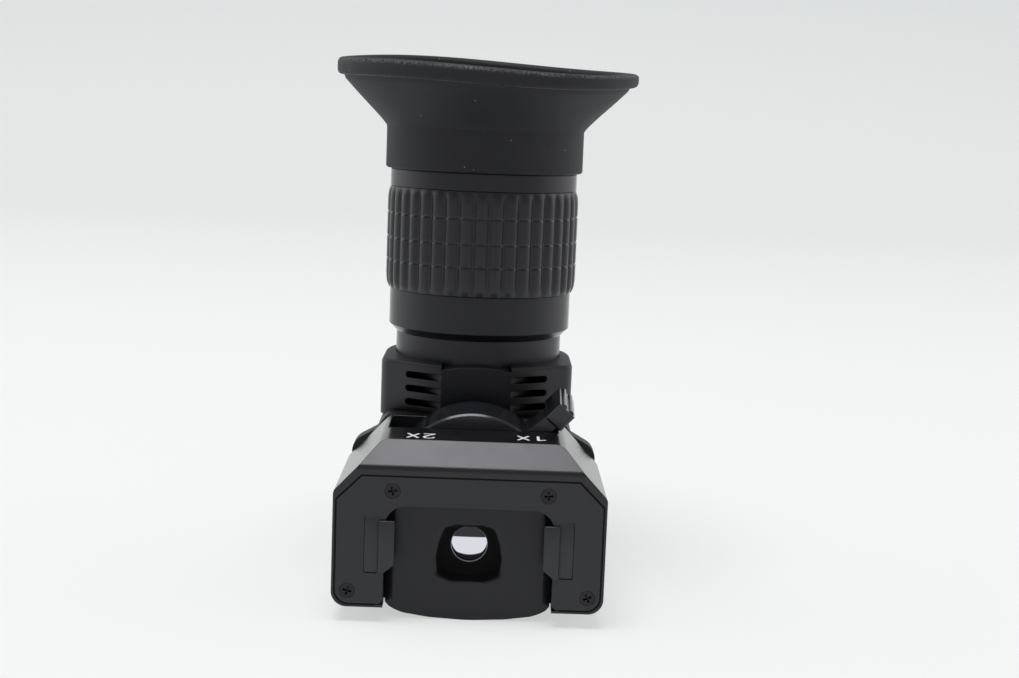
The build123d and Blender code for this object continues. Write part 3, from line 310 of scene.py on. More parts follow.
# %% Dust on the rubber
cells = add(rubber_tree, "ShaderNodeTexVoronoi", {"Vector": rubber_place, "Scale": per_metre(1.4),
                                                 "Randomness": 1.0})
speck_size = add(rubber_tree, "ShaderNodeMapRange", {"Value": cells.outputs["Distance"], "From Min": 0.05,
                                                    "From Max": 0.09, "To Min": 1.0, "To Max": 0.0})
cell_draw = add(rubber_tree, "ShaderNodeSeparateColor", {"Color": cells.outputs["Color"]})
handled = add(rubber_tree, "ShaderNodeMath", (bloom, 0.2), operation="MULTIPLY")
chance = add(rubber_tree, "ShaderNodeMath", (cell_draw.outputs["Red"], handled), operation="ADD")
lone = add(rubber_tree, "ShaderNodeMapRange", {"Value": chance, "From Min": 0.9, "From Max": 0.93})
speck_share = add(rubber_tree, "ShaderNodeMath", (speck_size, lone), operation="MULTIPLY")
dusted = add(rubber_tree, "ShaderNodeMix", {"Factor": speck_share, "A": clean_rubber, "B": tone("#7e7e82")},
             data_type="RGBA")
edge_dust = add(rubber_tree, "ShaderNodeAttribute", attribute_name="rim_edge").outputs["Fac"]
ragged = add(rubber_tree, "ShaderNodeTexNoise", {"Vector": rubber_place, "Scale": per_metre(0.35), "Detail": 4.0})
half_bloom = add(rubber_tree, "ShaderNodeMath", (bloom, 0.5), operation="MULTIPLY")
raised = add(rubber_tree, "ShaderNodeMath", (ragged, half_bloom), operation="ADD")
patchy = add(rubber_tree, "ShaderNodeMapRange", {"Value": raised, "From Min": 0.68, "From Max": 0.9})
edge_share = add(rubber_tree, "ShaderNodeMath", (edge_dust, patchy), operation="MULTIPLY")
edged = add(rubber_tree, "ShaderNodeMix", {"Factor": edge_share, "A": dusted.outputs["Result"],
                                          "B": tone("#8a8a8e")}, data_type="RGBA")
join(rubber_tree, rubber_shader, {"Base Color": edged.outputs["Result"]})
print("the rubber's finish has", len(rubber_tree.nodes), "nodes")

# %% [markdown]
# ## Finishes on the solids
# The solid model names a slot for each piece, such as plate_black, and each slot gets its finish. The lever's parts
# and the elbow share their slots with other pieces, so they get their own finishes by name.

# %% Put the finishes on the solid pieces
finish_of = {
    "moulded_black": moulded_abs, "plate_black": plate_enamel, "clip_black": clip_black,
    "screw_black": screw_black, "anodised_black": anodised, "ring_black": ring_abs, "brass": brass,
    "steel": steel, "glass": coated_glass, "cup_rubber": rubber,
}
slot_of = {part["node"]: part["material_slot"] for part in frame["record"]["subparts"]}
for name, solid in solids.items():
    solid.material_slots[0].material = finish_of[slot_of[name]]
for name in ("lens_drum", "lever_arm", "thumb_knob"):
    solids[name].material_slots[0].material = lever_abs
solids["elbow_housing"].material_slots[0].material = elbow_abs
print("dressed", len(slot_of), "solids")

# %% [markdown]
# ## Pieces from mesh code
# Most of the pieces made here are loops of points with a skin between them. A turned piece is one outline carried
# round an axis, with a place for each point worked out by a function, so that a rim can also lean or be a little
# uneven, as soft rubber is.

# %% Skin, piece and loops
def skinned(shape, low, high):
    """Faces between two loops of as many points."""
    for i in range(len(low)):
        k = (i + 1) % len(low)
        shape.faces.new((low[i], low[k], high[k], high[i]))


def piece_from(shape, name, finish=None, sharp=None):
    """A piece from a mesh shape. It is smooth, with edges sharper than this many degrees kept, or else flat."""
    mesh = bpy.data.meshes.new(name)
    shape.to_mesh(mesh)
    shape.free()
    if sharp:
        mesh.polygons.foreach_set("use_smooth", [True] * len(mesh.polygons))
        mesh.set_sharp_from_angle(angle=math.radians(sharp))
    if finish:
        mesh.materials.append(finish)
    piece = bpy.data.objects.new(name, mesh)
    bpy.context.scene.collection.objects.link(piece)
    return piece


def looped(name, loops, finish):
    """A closed piece through loops of as many points each; the last loop joins the first."""
    shape = bmesh.new()
    rows = [[shape.verts.new(point) for point in loop] for loop in loops]
    for low, high in zip(rows, rows[1:] + rows[:1]):
        skinned(shape, low, high)
    bmesh.ops.recalc_face_normals(shape, faces=shape.faces)
    return piece_from(shape, name, finish, sharp=35)


def turned(name, outline, sides, place, finish):
    """A closed piece: each (radius, height) of the outline goes round, to where place(radius, height, angle) says."""
    angles = [math.tau * i / sides for i in range(sides)]
    return looped(name, [[place(radius, height, angle) for angle in angles] for radius, height in outline], finish)


print("mesh helpers ready")

# %% [markdown]
# A soft piece has no straight runs in its outline. A line through a few chosen points, with each stretch bent to
# meet its neighbours, gives the flare of the eyecup.

# %% Smooth lines
def smooth_line(points, steps):
    """Points on a smooth open line through the given ones."""
    ends = [points[0]] + list(points) + [points[-1]]
    line = []
    for a, b, c, d in zip(ends, ends[1:], ends[2:], ends[3:]):
        for i in range(steps):
            t = i / steps
            line.append(tuple(0.5 * (2 * q + (r - p) * t + (2 * p - 5 * q + 4 * r - s) * t * t
                                     + (3 * q - p - 3 * r + s) * t ** 3) for p, q, r, s in zip(a, b, c, d)))
    return line + [points[-1]]


print("a smooth line of", len(smooth_line([(0, 0), (1, 1), (2, 0)], 8)), "points")

# %% [markdown]
# ## Eyecup
# The real eyecup is one soft moulding: a straight neck that grips the barrel, a flare and a thick round rim. Its rim
# rises towards the back, and its left side has taken a set and stands a little higher. The outline goes up the
# outside, over the rim and down the inside, so the wall is closed and has its true thickness.

# %% The eyecup's sizes and places
neck_radius, neck_foot, neck_top = 15.85, 51.8, 58.65
rim_radius, rim_height, bead, squareness = 22.85, 67.5, 1.35, 3.4
seat_radius, lip_radius, lip_top = 14.45, 12.8, 59.0
cup_lean = math.tan(math.radians(3.2))
cup_sides = 144


def bead_arc(start, end, steps):
    """Points round the rim's bead, by angles in degrees. The bead is a squarish round, flat on its outside."""
    points = []
    for i in range(steps + 1):
        angle = math.radians(start + (end - start) * i / steps)
        across, up = math.cos(angle), math.sin(angle)
        swell = bead / (abs(across) ** squareness + abs(up) ** squareness) ** (1 / squareness)
        points.append((rim_radius + swell * across, rim_height + swell * up))
    return points


def cup_place(radius, height, angle):
    """The rim leans back and waves; the neck, below, stays round and level."""
    free = min(max((height - neck_top) / (rim_height - neck_top), 0.0), 1.0)
    blend = free * free * (3 - 2 * free)
    from_left = angle - math.pi
    right = math.sin(from_left / 2) ** 2
    # In millimetres: the left side's set, the two waves next to it, and the dip on the right.
    wave = 0.1 + 0.3 * math.cos(from_left) - 0.22 * math.cos(3 * from_left) - 0.3 * right ** 2
    rise = blend * (radius * math.sin(angle) * cup_lean + wave)
    # The bead is flatter on the right and thinner on the left.
    if height > rim_height:
        height = rim_height + (height - rim_height) * (1 - 0.42 * right ** 3)
    if radius > rim_radius:
        radius = rim_radius + (radius - rim_radius) * (0.8 + 0.2 * right ** 3)
    return Vector((radius * math.cos(angle), barrel_axis + radius * math.sin(angle), height + rise)) * mm


print("the rim is", 2 * (rim_radius + bead), "mm across")

# %% Make the eyecup
outer_flare = smooth_line([(neck_radius, neck_top - 0.6), (neck_radius + 0.2, neck_top + 0.05), (17.6, 60.4),
                           (20.5, 63.3), (22.6, 65.5)], 6)
inner_flare = smooth_line([(21.2, 66.3), (19.6, 64.7), (16.4, 61.6), (14.2, 59.7), (lip_radius, lip_top)], 6)
bead_line = bead_arc(-88, 215, 30)
cup_outline = ([(neck_radius - 0.25, neck_foot), (neck_radius, neck_foot + 0.25)] + outer_flare + bead_line
               + inner_flare + [(lip_radius, lip_top - 1.1), (lip_radius + 0.2, lip_top - 1.3),
                                (seat_radius, lip_top - 1.35), (seat_radius, neck_foot)])
eyecup = turned("rubber_eyecup", cup_outline, cup_sides, cup_place, rubber)
# How much dust the bead's rows hold, counted from its start: its lower edge, its upper edge and its inside.
dust_of_row = {1: 0.5, 2: 0.4, 3: 0.25, 12: 0.25, 13: 0.45, 14: 0.25, 26: 0.3}
bead_start = cup_outline.index(bead_line[0])
rim_edge = eyecup.data.attributes.new("rim_edge", "FLOAT", "POINT")
rim_edge.data.foreach_set("value", [dust_of_row.get(row - bead_start, 0.0) for row in range(len(cup_outline))
                                    for _ in range(cup_sides)])
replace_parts(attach(eyecup, "cup"), "eyecup")
print("eyecup of", len(eyecup.data.polygons), "faces")

# %% [markdown]
# ## Panel with the window
# The panel at the bottom of the recess is one moulding: its sides slope back, its lower edge bulges down, and the
# window in it is shaped like an old television screen with a bevelled frame. Its outlines are drawn as corner points
# and cast on the same rays from the optical axis, so that each one has as many points and they join up.

# %% Round the corners
def rounded(corners, steps):
    """A closed line through the corner points (x, z), each with its rounding radius."""
    line = []
    for i, (x, z, radius) in enumerate(corners):
        here = Vector((x, z))
        before, after = Vector(corners[i - 1][:2]), Vector(corners[(i + 1) % len(corners)][:2])
        back, on = (before - here).normalized(), (after - here).normalized()
        reach = radius / math.tan(back.angle(on) / 2)
        start, end = here + back * reach, here + on * reach
        for k in range(steps + 1):
            t = k / steps
            line.append(start * (1 - t) ** 2 + here * 2 * t * (1 - t) + end * t ** 2)
    return line


print("a rounded square has", len(rounded([(1, 1, 0.2), (-1, 1, 0.2), (-1, -1, 0.2), (1, -1, 0.2)], 5)), "points")

# %% Cast outlines on rays
ray_count, corner_steps = 120, 5


def cast(outline):
    """Where the rays from the optical axis leave the outline, as (x, z) pairs."""
    hits = []
    for i in range(ray_count):
        angle = math.tau * (i + 0.5) / ray_count
        way = Vector((math.cos(angle), math.sin(angle)))
        for a, b in zip(outline, outline[1:] + outline[:1]):
            side = b - a
            cross = way.x * side.y - way.y * side.x
            if abs(cross) < 1e-9:
                continue
            reach = (a.x * side.y - a.y * side.x) / cross
            share = (a.x * way.y - a.y * way.x) / cross
            if reach > 0 and 0 <= share <= 1:
                hits.append(way * reach)
                break
    return hits


def ray_outline(right, *middle):
    """A level outline, cast, from its right side's corners (x, z, radius), top to bottom, and any on the middle."""
    left = [(-x, z, radius) for x, z, radius in right]
    return cast(rounded(left + list(middle) + right[::-1], corner_steps))


def at_depth(points, depth):
    """Outline points at a depth in millimetres, or at depth(point)."""
    return [Vector((p.x, depth(p) if callable(depth) else depth, p.y)) * mm for p in points]


def shrunk(points, by):
    """Outline points drawn in towards the axis."""
    return [p * (1 - by / p.length) for p in points]


print("rays:", ray_count)

# %% Make the panel
panel_line = ray_outline([(11.83, 5.68, 2.88), (11.83, -9.1, 0.3), (11.25, -9.65, 0.4), (9.3, -10.45, 1.0),
                          (5.5, -11.0, 2.0)], (0.0, -11.3, 3.0))
face_line = ray_outline([(10.75, 5.52, 1.9), (10.75, -9.0, 0.3), (10.4, -9.5, 0.4), (9.0, -10.2, 1.0),
                         (5.4, -10.8, 2.0)], (0.0, -11.08, 3.0))
window_line = ray_outline([(2.2, 2.76, 1.2), (4.3, 1.95, 1.1), (4.95, 0.0, 1.5), (5.17, -2.0, 1.5),
                           (4.8, -4.75, 1.0), (2.4, -5.68, 1.6)])
throat_line = ray_outline([(2.0, 2.66, 1.2), (3.6, 2.1, 1.0), (4.35, 0.0, 1.5), (4.68, -2.0, 1.5),
                           (4.45, -4.7, 0.9), (2.4, -5.56, 1.6)])
panel_front, panel_back = 2.5, 4.6


def side_slope(point):
    """The panel's sides slope back by half a millimetre, and its upper and lower edges by much less."""
    return panel_front + 0.12 + 0.5 * min(max(abs(point.x) - 10.6, 0.0), 1.0)


panel = looped("window_panel_moulding", [
    at_depth(panel_line, panel_back), at_depth(panel_line, side_slope), at_depth(face_line, panel_front),
    at_depth(shrunk(face_line, 0.1), panel_front), at_depth(shrunk(window_line, -0.2), panel_front),
    at_depth(shrunk(window_line, -0.1), panel_front), at_depth(window_line, panel_front + 0.04),
    at_depth(throat_line, panel_front + 0.3), at_depth(throat_line, panel_back)], panel_abs)
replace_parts(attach(panel, "front_unit"), "window_panel")
print("panel of", len(panel.data.polygons), "faces")

# %% [markdown]
# ## Baffle
# Behind the window a black baffle keeps stray light off the lens. The real one is painted matt black, nearly
# without shine, and a thin bare edge is left round its hole, which sits a little low.

# %% Matt black paint
# Flat paint with much pigment: a deep black that light hardly touches.
paint, paint_tree, paint_shader = new_finish("matt_black_baffle_paint", **{"Specular IOR Level": 0.2})
_, paint_grain = mottled(paint_tree, paint_shader, 0.2, "#050506", "#0b0b0d")
paint_rough = add(paint_tree, "ShaderNodeMapRange", {"Value": paint_grain, "To Min": 0.8, "To Max": 0.95})
join(paint_tree, paint_shader, {"Roughness": paint_rough})
print("baffle finish:", paint.name)

# %% Make the baffle
def ray_circle(radius, low):
    """A circle whose centre is this far above the optical axis, cast on the same rays."""
    hits = []
    for point in window_line:
        way = point.normalized()
        along = way.y * low
        hits.append(way * (along + math.sqrt(along ** 2 - low ** 2 + radius ** 2)))
    return hits


hole_radius, hole_low, baffle_back = 2.64, -0.52, 4.5
hole = ray_circle(hole_radius, hole_low)
bare_line = ray_circle(hole_radius - 0.09, hole_low + 0.06)
rim_line, inner_line = shrunk(throat_line, 0.02), shrunk(throat_line, 0.5)
baffle = looped("window_baffle", [
    at_depth(rim_line, 2.86), at_depth(inner_line, 4.15), at_depth(shrunk(inner_line, 0.1), 4.22),
    at_depth(hole, 4.42), at_depth(hole, baffle_back), at_depth(rim_line, baffle_back)], paint)
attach(baffle, "front_unit")
bare_edge = looped("baffle_bare_edge", [
    at_depth(hole, 4.4), at_depth(bare_line, 4.47), at_depth(bare_line, baffle_back),
    at_depth(hole, baffle_back)], steel)
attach(bare_edge, "front_unit")
print("baffle of", len(baffle.data.polygons), "faces")

# %% [markdown]
# ## Front lens
# The lens behind the baffle shows what comes through the prism and the eyepiece from above: the white light of the
# tent, cut off straight above by the prism's edge and round below by the barrel. Rays can't find their way through
# so many small glass pieces in a picture of this size, so the lens carries that view itself: a rule on the place on
# its face says where it is lit, and the polished glass lies over it.

# %% Light in the lens
# Polished coated glass over a dark bore: black where the rule gives no light, with a faint reflection.
lit_glass, lit_tree, lit_shader = new_finish("coated_lens_with_the_light_behind", Roughness=0.04, **{
    "Base Color": tone("#07080b"), "Specular IOR Level": 0.22, "Emission Color": tone("#f4f8ff")})
lens_spot = add(lit_tree, "ShaderNodeSeparateXYZ",
                {"Vector": add(lit_tree, "ShaderNodeTexCoord").outputs["Object"]}).outputs
barrel_centre, white_light, upper_light = 2.33, 0.74, 0.02
from_barrel = add(lit_tree, "ShaderNodeMath", (lens_spot["Z"], barrel_centre * mm), operation="SUBTRACT")
flat_spot = add(lit_tree, "ShaderNodeCombineXYZ", {"X": lens_spot["X"], "Y": from_barrel})
away = add(lit_tree, "ShaderNodeVectorMath", {0: flat_spot}, operation="LENGTH").outputs["Value"]
# Three soft steps, in millimetres: over the prism's edge, out of the barrel, and into the dim part above.
over_edge, out_of_barrel, in_upper = [
    add(lit_tree, "ShaderNodeMapRange", {"Value": value, "From Min": start * mm, "From Max": end * mm},
        interpolation_type="SMOOTHSTEP")
    for value, start, end in ((lens_spot["Z"], 0.28, 0.42), (away, 4.5, 4.66), (lens_spot["Z"], 0.32, 0.48))]
below_edge = add(lit_tree, "ShaderNodeMath", (1.0, over_edge), operation="SUBTRACT")
in_barrel = add(lit_tree, "ShaderNodeMath", (1.0, out_of_barrel), operation="SUBTRACT")
in_both = add(lit_tree, "ShaderNodeMath", (below_edge, in_barrel), operation="MULTIPLY")
white_part = add(lit_tree, "ShaderNodeMath", (in_both, white_light), operation="MULTIPLY")
upper_part = add(lit_tree, "ShaderNodeMath", (in_upper, upper_light), operation="MULTIPLY")
lit_all = add(lit_tree, "ShaderNodeMath", (white_part, upper_part), operation="MAXIMUM")
join(lit_tree, lit_shader, {"Emission Strength": lit_all})
print("lens finish:", lit_glass.name)

# %% Make the front lens
def optical_place(radius, depth, angle):
    """A plain turned point about the optical axis."""
    return Vector((radius * math.cos(angle), depth, radius * math.sin(angle))) * mm


lens_edge, lens_front, lens_back, lens_bulge, pole = 2.6, 4.98, 5.9, 0.12, 0.02
lens_face = [(max(lens_edge * i / 8, pole), lens_front + lens_bulge * (i / 8) ** 2) for i in range(9)]
front_lens = turned("front_lens", [(pole, lens_back)] + lens_face + [(lens_edge, lens_back)], 64, optical_place,
                    lit_glass)
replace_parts(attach(front_lens, "front_unit"), "objective_lens")
lens_ring = turned("lens_retaining_ring", [(2.6, 5.3), (2.6, 5.02), (2.62, 5.0), (2.69, 5.0), (2.7, 5.02),
                                           (2.7, 5.3)], 64, optical_place, anodised)
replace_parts(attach(lens_ring, "front_unit"), "objective_ring")
print("lens of", len(front_lens.data.polygons), "faces")

# %% [markdown]
# ## Rail clips
# Each clip is one strip of spring steel. Its flange lies in the plate, and a small joggle lifts its lip one sheet
# proud, over the edge of the recess, where it hooks behind the camera's shoe. The lip's lower corner is cut off, so
# that the shoe finds its way in. The two outlines are extruded, and a bevel takes the burr off their edges.

# %% Make the clips
def pressed(name, outline, near, far, edge, finish):
    """A flat piece from an outline of (x, z) points, between two depths, with its edges softened."""
    shape = bmesh.new()
    front, back = [[shape.verts.new(Vector((x, y, z)) * mm) for x, z in outline] for y in (near, far)]
    shape.faces.new(front)
    shape.faces.new(back[::-1])
    skinned(shape, front, back)
    bmesh.ops.recalc_face_normals(shape, faces=shape.faces)
    bmesh.ops.bevel(shape, geom=shape.edges[:], offset=edge * mm, segments=2, profile=0.5, affect="EDGES")
    return piece_from(shape, name, finish, sharp=50)


for side, node in ((-1, "clip_left"), (1, "clip_right")):
    lip = [(side * x, z) for x, z in ((10.5, 3.7), (12.75, 3.7), (12.75, -3.9), (12.0, -3.9), (10.5, -2.7))]
    flange = [(side * x, z) for x, z in ((12.6, 4.22), (14.72, 4.22), (14.72, -3.86), (12.6, -3.86))]
    lip_piece = pressed(node + "_lip", lip, -0.5, 0.0, 0.13, clip_black)
    flange_piece = pressed(node + "_flange", flange, -0.02, 0.4, 0.03, clip_black)
    for piece in (lip_piece, flange_piece):
        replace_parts(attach(piece, "front_unit"), node)
print("clips made")

# %% [markdown]
# ## Shadow round the plate
# The plate lies in its pocket with a narrow gap round it, which lies in shade. That shade is painted: a flat strip
# of matt black along the plate's outline, between that line moved out and the same line moved in.

# %% Paint the shadow round the plate
def gap_shadow_path(out):
    """The plate's outline, from one leg's foot over the top to the other's, moved out by this many millimetres."""
    half, low, top, cut, corner = 18.8 + out, -8.55 - out, 10.0 + out, 3.5 + 0.4 * out, 2.0 + out
    right = [(half - cut, top), (half, top - cut)]
    for i in range(9):
        turn = math.radians(90 * i / 8)
        right.append((half - corner + corner * math.cos(turn), low + corner - corner * math.sin(turn)))
    right.append((13.0, low))
    return [(-x, z) for x, z in right[::-1]] + right


# Painted shadow: matt black paint where the gap round the plate is in shade.
gap_shadow = pressed("plate_seam", gap_shadow_path(0.16) + gap_shadow_path(-0.08)[::-1], -0.014, 0.02, 0.003, paint)
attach(gap_shadow, "front_unit")
print("seam of", len(gap_shadow.data.polygons), "faces")

# %% [markdown]
# ## Focusing ring
# The ring is moulded with forty upright ribs. Each rib is cut by three shallow grooves into four low cushions, and
# has a long bevel at each end. A rib is a small grid of points, bent by a rule: a curve gives its height along the
# ring and a rounded step gives its section. Geometry Nodes do it once and set it round the sleeve forty times.

# %% Turn the ring's sleeve
ring_bottom, ring_length, ring_bore, ring_root, chamfer = 32.7, 16.2, 13.45, 14.93, 0.1
ring_top = ring_bottom + ring_length
sleeve_outline = [(ring_bore, ring_bottom), (ring_root - chamfer, ring_bottom), (ring_root, ring_bottom + chamfer),
                  (ring_root, ring_top - chamfer), (ring_root - chamfer, ring_top), (ring_bore, ring_top)]


def upright_place(radius, height, angle):
    """A plain turned point about the barrel's axis."""
    return Vector((radius * math.cos(angle), barrel_axis + radius * math.sin(angle), height)) * mm


ring = turned("ribbed_focusing_ring", sleeve_outline, 120, upright_place, ring_abs)
print("sleeve of", len(ring.data.polygons), "faces")

# %% [markdown]
# A tree of Geometry Nodes has named inputs for its sizes, as a form has fields. A modifier runs it on a piece, and
# what comes out is kept as the piece's own plain mesh.

# %% Give a tree its named inputs
def new_tree(name, sockets):
    """A geometry tree with a geometry input and output, and named inputs as (kind, starting value)."""
    tree = bpy.data.node_groups.new(name, "GeometryNodeTree")
    tree.interface.new_socket("Geometry", in_out="INPUT", socket_type="NodeSocketGeometry")
    tree.interface.new_socket("Geometry", in_out="OUTPUT", socket_type="NodeSocketGeometry")
    for label, (kind, value) in sockets.items():
        socket = tree.interface.new_socket(label, in_out="INPUT", socket_type="NodeSocket" + kind)
        if value is not None:
            socket.default_value = value
    return tree, add(tree, "NodeGroupInput").outputs


def baked(piece, tree, **settings):
    """Runs the tree on the piece, with inputs set by their sockets' identifiers, and keeps the result as its mesh."""
    modifier = piece.modifiers.new(tree.name, "NODES")
    modifier.node_group = tree
    for socket in tree.interface.items_tree:
        if socket.in_out == "INPUT" and socket.name in settings:
            modifier[socket.identifier] = settings[socket.name]
    graph = bpy.context.evaluated_depsgraph_get()
    mesh = bpy.data.meshes.new_from_object(piece.evaluated_get(graph), depsgraph=graph)
    piece.modifiers.remove(modifier)
    piece.data = mesh
    return piece


print("tree helpers ready")

# %% Shape one rib
# Across, the grid goes from -1 to 1, and along the ring from -0.5 to 0.5. A groove is a notch in the curve.
rib_tree, ask = new_tree("ring_ribs", {
    "Rib Count": ("Int", 40), "Root Radius": ("Float", ring_root * mm), "Rib Height": ("Float", 0.52 * mm),
    "Gap Width": ("Float", 0.12 * mm), "Bottom": ("Float", ring_bottom * mm), "Length": ("Float", ring_length * mm),
    "Axis Y": ("Float", barrel_axis * mm), "Finish": ("Material", ring_abs)})
grid = add(rib_tree, "GeometryNodeMeshGrid", {"Size X": 2.0, "Size Y": 1.0, "Vertices X": 9, "Vertices Y": 181})
spot = add(rib_tree, "ShaderNodeSeparateXYZ", {"Vector": add(rib_tree, "GeometryNodeInputPosition")})
across = spot.outputs["X"]
share = add(rib_tree, "ShaderNodeMath", (spot.outputs["Y"], 0.5), operation="ADD")
grooves, groove_half, groove_floor = (0.284, 0.506, 0.747), 0.013, 0.75
bevel_points = [(0.0, 0.1), (0.03, 0.5), (0.07, 0.84), (0.15, 0.99), (0.4, 1.0), (0.63, 1.0), (0.86, 0.99),
                (0.93, 0.84), (0.97, 0.5), (1.0, 0.1)]
groove_points = [(groove + step * groove_half, 1.0 if step else groove_floor)
                 for groove in grooves for step in (-1, 0, 1)]
crown_points = sorted(bevel_points + groove_points)
crown = add(rib_tree, "ShaderNodeFloatCurve", {"Value": share})
curve = crown.mapping.curves[0]
curve.points[0].location, curve.points[1].location = crown_points[0], crown_points[-1]
for point in crown_points[1:-1]:
    curve.points.new(*point)
crown.mapping.update()
print("the rib's curve has", len(curve.points), "points")

# %% Bend the rib round the sleeve
roundness, rib_sink = 2.3, 0.04 * mm
aside = add(rib_tree, "ShaderNodeMath", {0: across}, operation="ABSOLUTE")
flank = add(rib_tree, "ShaderNodeMath", (aside, roundness), operation="POWER")
inside = add(rib_tree, "ShaderNodeMath", (1.0, flank), operation="SUBTRACT")
section = add(rib_tree, "ShaderNodeMath", (inside, 0.0), operation="MAXIMUM")
crowned = add(rib_tree, "ShaderNodeMath", (crown, section), operation="MULTIPLY")
stand = add(rib_tree, "ShaderNodeMath", (crowned, ask["Rib Height"]), operation="MULTIPLY")
sunk = add(rib_tree, "ShaderNodeMath", (stand, rib_sink), operation="SUBTRACT")
radius = add(rib_tree, "ShaderNodeMath", (ask["Root Radius"], sunk), operation="ADD")
pitch = add(rib_tree, "ShaderNodeMath", (math.tau, ask["Rib Count"]), operation="DIVIDE")
gap_angle = add(rib_tree, "ShaderNodeMath", (ask["Gap Width"], ask["Root Radius"]), operation="DIVIDE")
rib_angle = add(rib_tree, "ShaderNodeMath", (pitch, gap_angle), operation="SUBTRACT")
half_angle = add(rib_tree, "ShaderNodeMath", (rib_angle, 0.5), operation="MULTIPLY")
angle = add(rib_tree, "ShaderNodeMath", (across, half_angle), operation="MULTIPLY")
sine = add(rib_tree, "ShaderNodeMath", {0: angle}, operation="SINE")
cosine = add(rib_tree, "ShaderNodeMath", {0: angle}, operation="COSINE")
out = add(rib_tree, "ShaderNodeMath", (radius, cosine), operation="MULTIPLY")
along = add(rib_tree, "ShaderNodeMath", (share, ask["Length"]), operation="MULTIPLY")
rib_place = add(rib_tree, "ShaderNodeCombineXYZ", {
    "X": add(rib_tree, "ShaderNodeMath", (radius, sine), operation="MULTIPLY"),
    "Y": add(rib_tree, "ShaderNodeMath", (out, -1.0), operation="MULTIPLY"),
    "Z": add(rib_tree, "ShaderNodeMath", (along, ask["Bottom"]), operation="ADD")})
rib = add(rib_tree, "GeometryNodeSetPosition", {"Geometry": grid, "Position": rib_place})
print("the rib's rule has", len(rib_tree.nodes), "nodes")

# %% Set the ribs round the sleeve
centre = add(rib_tree, "ShaderNodeCombineXYZ", {"Y": ask["Axis Y"]})
spots = add(rib_tree, "GeometryNodeMeshLine", {"Count": ask["Rib Count"], "Start Location": centre,
                                              "Offset": (0.0, 0.0, 0.0)})
turn_z = add(rib_tree, "ShaderNodeMath", (add(rib_tree, "GeometryNodeInputIndex"), pitch),
             operation="MULTIPLY")
turns = add(rib_tree, "ShaderNodeCombineXYZ", {"Z": turn_z})
planted = add(rib_tree, "GeometryNodeInstanceOnPoints", {"Points": spots, "Instance": rib, "Rotation": turns})
real_ribs = add(rib_tree, "GeometryNodeRealizeInstances", {"Geometry": planted})
smooth_ribs = add(rib_tree, "GeometryNodeSetShadeSmooth", {"Geometry": real_ribs})
joined = add(rib_tree, "GeometryNodeJoinGeometry")
for part in (ask["Geometry"], smooth_ribs.outputs[0]):
    rib_tree.links.new(part, joined.inputs[0])
coated = add(rib_tree, "GeometryNodeSetMaterial", {"Geometry": joined, "Material": ask["Finish"]})
add(rib_tree, "NodeGroupOutput", {0: coated})
baked(ring, rib_tree)
print("ring of", len(ring.data.polygons), "faces")

# %% [markdown]
# Fingers and the mould's cutter polish the grooves' lower sides, and these catch small lights. The finish itself
# turns glossier there, by the height on the ring.

# %% Polish the grooves
groove_below, shiny_half, matt_half = 0.12, 0.12, 0.2
grip_tree, grip_shader = shader_of(ring_abs)
grip_spot = add(grip_tree, "ShaderNodeSeparateXYZ",
                {"Vector": add(grip_tree, "ShaderNodeTexCoord").outputs["Object"]}).outputs
grip_rough = grip_shader.inputs["Roughness"].links[0].from_socket
for groove in grooves:
    middle = ring_bottom + groove * ring_length - groove_below
    away = add(grip_tree, "ShaderNodeMath", (grip_spot["Z"], middle * mm), operation="SUBTRACT")
    off = add(grip_tree, "ShaderNodeMath", {0: away}, operation="ABSOLUTE")
    polish = add(grip_tree, "ShaderNodeMapRange", {"Value": off, "From Min": shiny_half * mm,
                                                  "From Max": matt_half * mm, "To Min": 0.3, "To Max": 1.0})
    grip_rough = add(grip_tree, "ShaderNodeMath", (grip_rough, polish), operation="MULTIPLY")
join(grip_tree, grip_shader, {"Roughness": grip_rough})
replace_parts(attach(ring, "ring"), "dioptre_ring")
print("polished", len(grooves), "grooves")

# %% [markdown]
# ## Cross-head screws
# Four small countersunk screws hold the plate, and two hold the cover behind. Each has a cross pressed into its
# head. One head is made in mesh code and Geometry Nodes set it at each place, each turned its own way, as an
# assembler leaves them.

# %% Make one screw head
head_radius, head_sides, head_edge, foot_radius, foot_depth = 1.11, 32, 0.06, 0.6, 0.72


def cross_loop(shape, span, width, depth):
    """The twelve corners of a cross, in order."""
    a, b = span / 2, width / 2
    corners = [(a, -b), (a, b), (b, b), (b, a), (-b, a), (-b, b), (-a, b), (-a, -b), (-b, -b), (-b, -a),
               (b, -a), (b, -b)]
    return [shape.verts.new(Vector((x, y, -depth)) * mm) for x, y in corners]


def head_loop(shape, radius, depth):
    """A circle of the head."""
    angles = [math.tau * i / head_sides for i in range(head_sides)]
    return [shape.verts.new(Vector((radius * math.cos(a), radius * math.sin(a), -depth)) * mm) for a in angles]


def screw_head():
    """A head with its face at z = 0, its cone below and a tapered cross sunk into it."""
    shape = bmesh.new()
    face, edge = head_loop(shape, head_radius - head_edge, 0.0), head_loop(shape, head_radius, head_edge)
    foot = head_loop(shape, foot_radius, foot_depth)
    skinned(shape, edge, face)
    skinned(shape, foot, edge)
    shape.faces.new(foot[::-1])
    mouth, floor = cross_loop(shape, 1.3, 0.3, 0.0), cross_loop(shape, 0.9, 0.16, 0.5)
    skinned(shape, mouth, floor)
    shape.faces.new(floor)
    rims = [shape.edges.get((a, b)) for loop in (face, mouth) for a, b in zip(loop, loop[1:] + loop[:1])]
    bmesh.ops.triangle_fill(shape, use_beauty=True, edges=rims)
    bmesh.ops.recalc_face_normals(shape, faces=shape.faces)
    return piece_from(shape, "screw_head")


head = screw_head()
print("a head of", len(head.data.polygons), "faces")

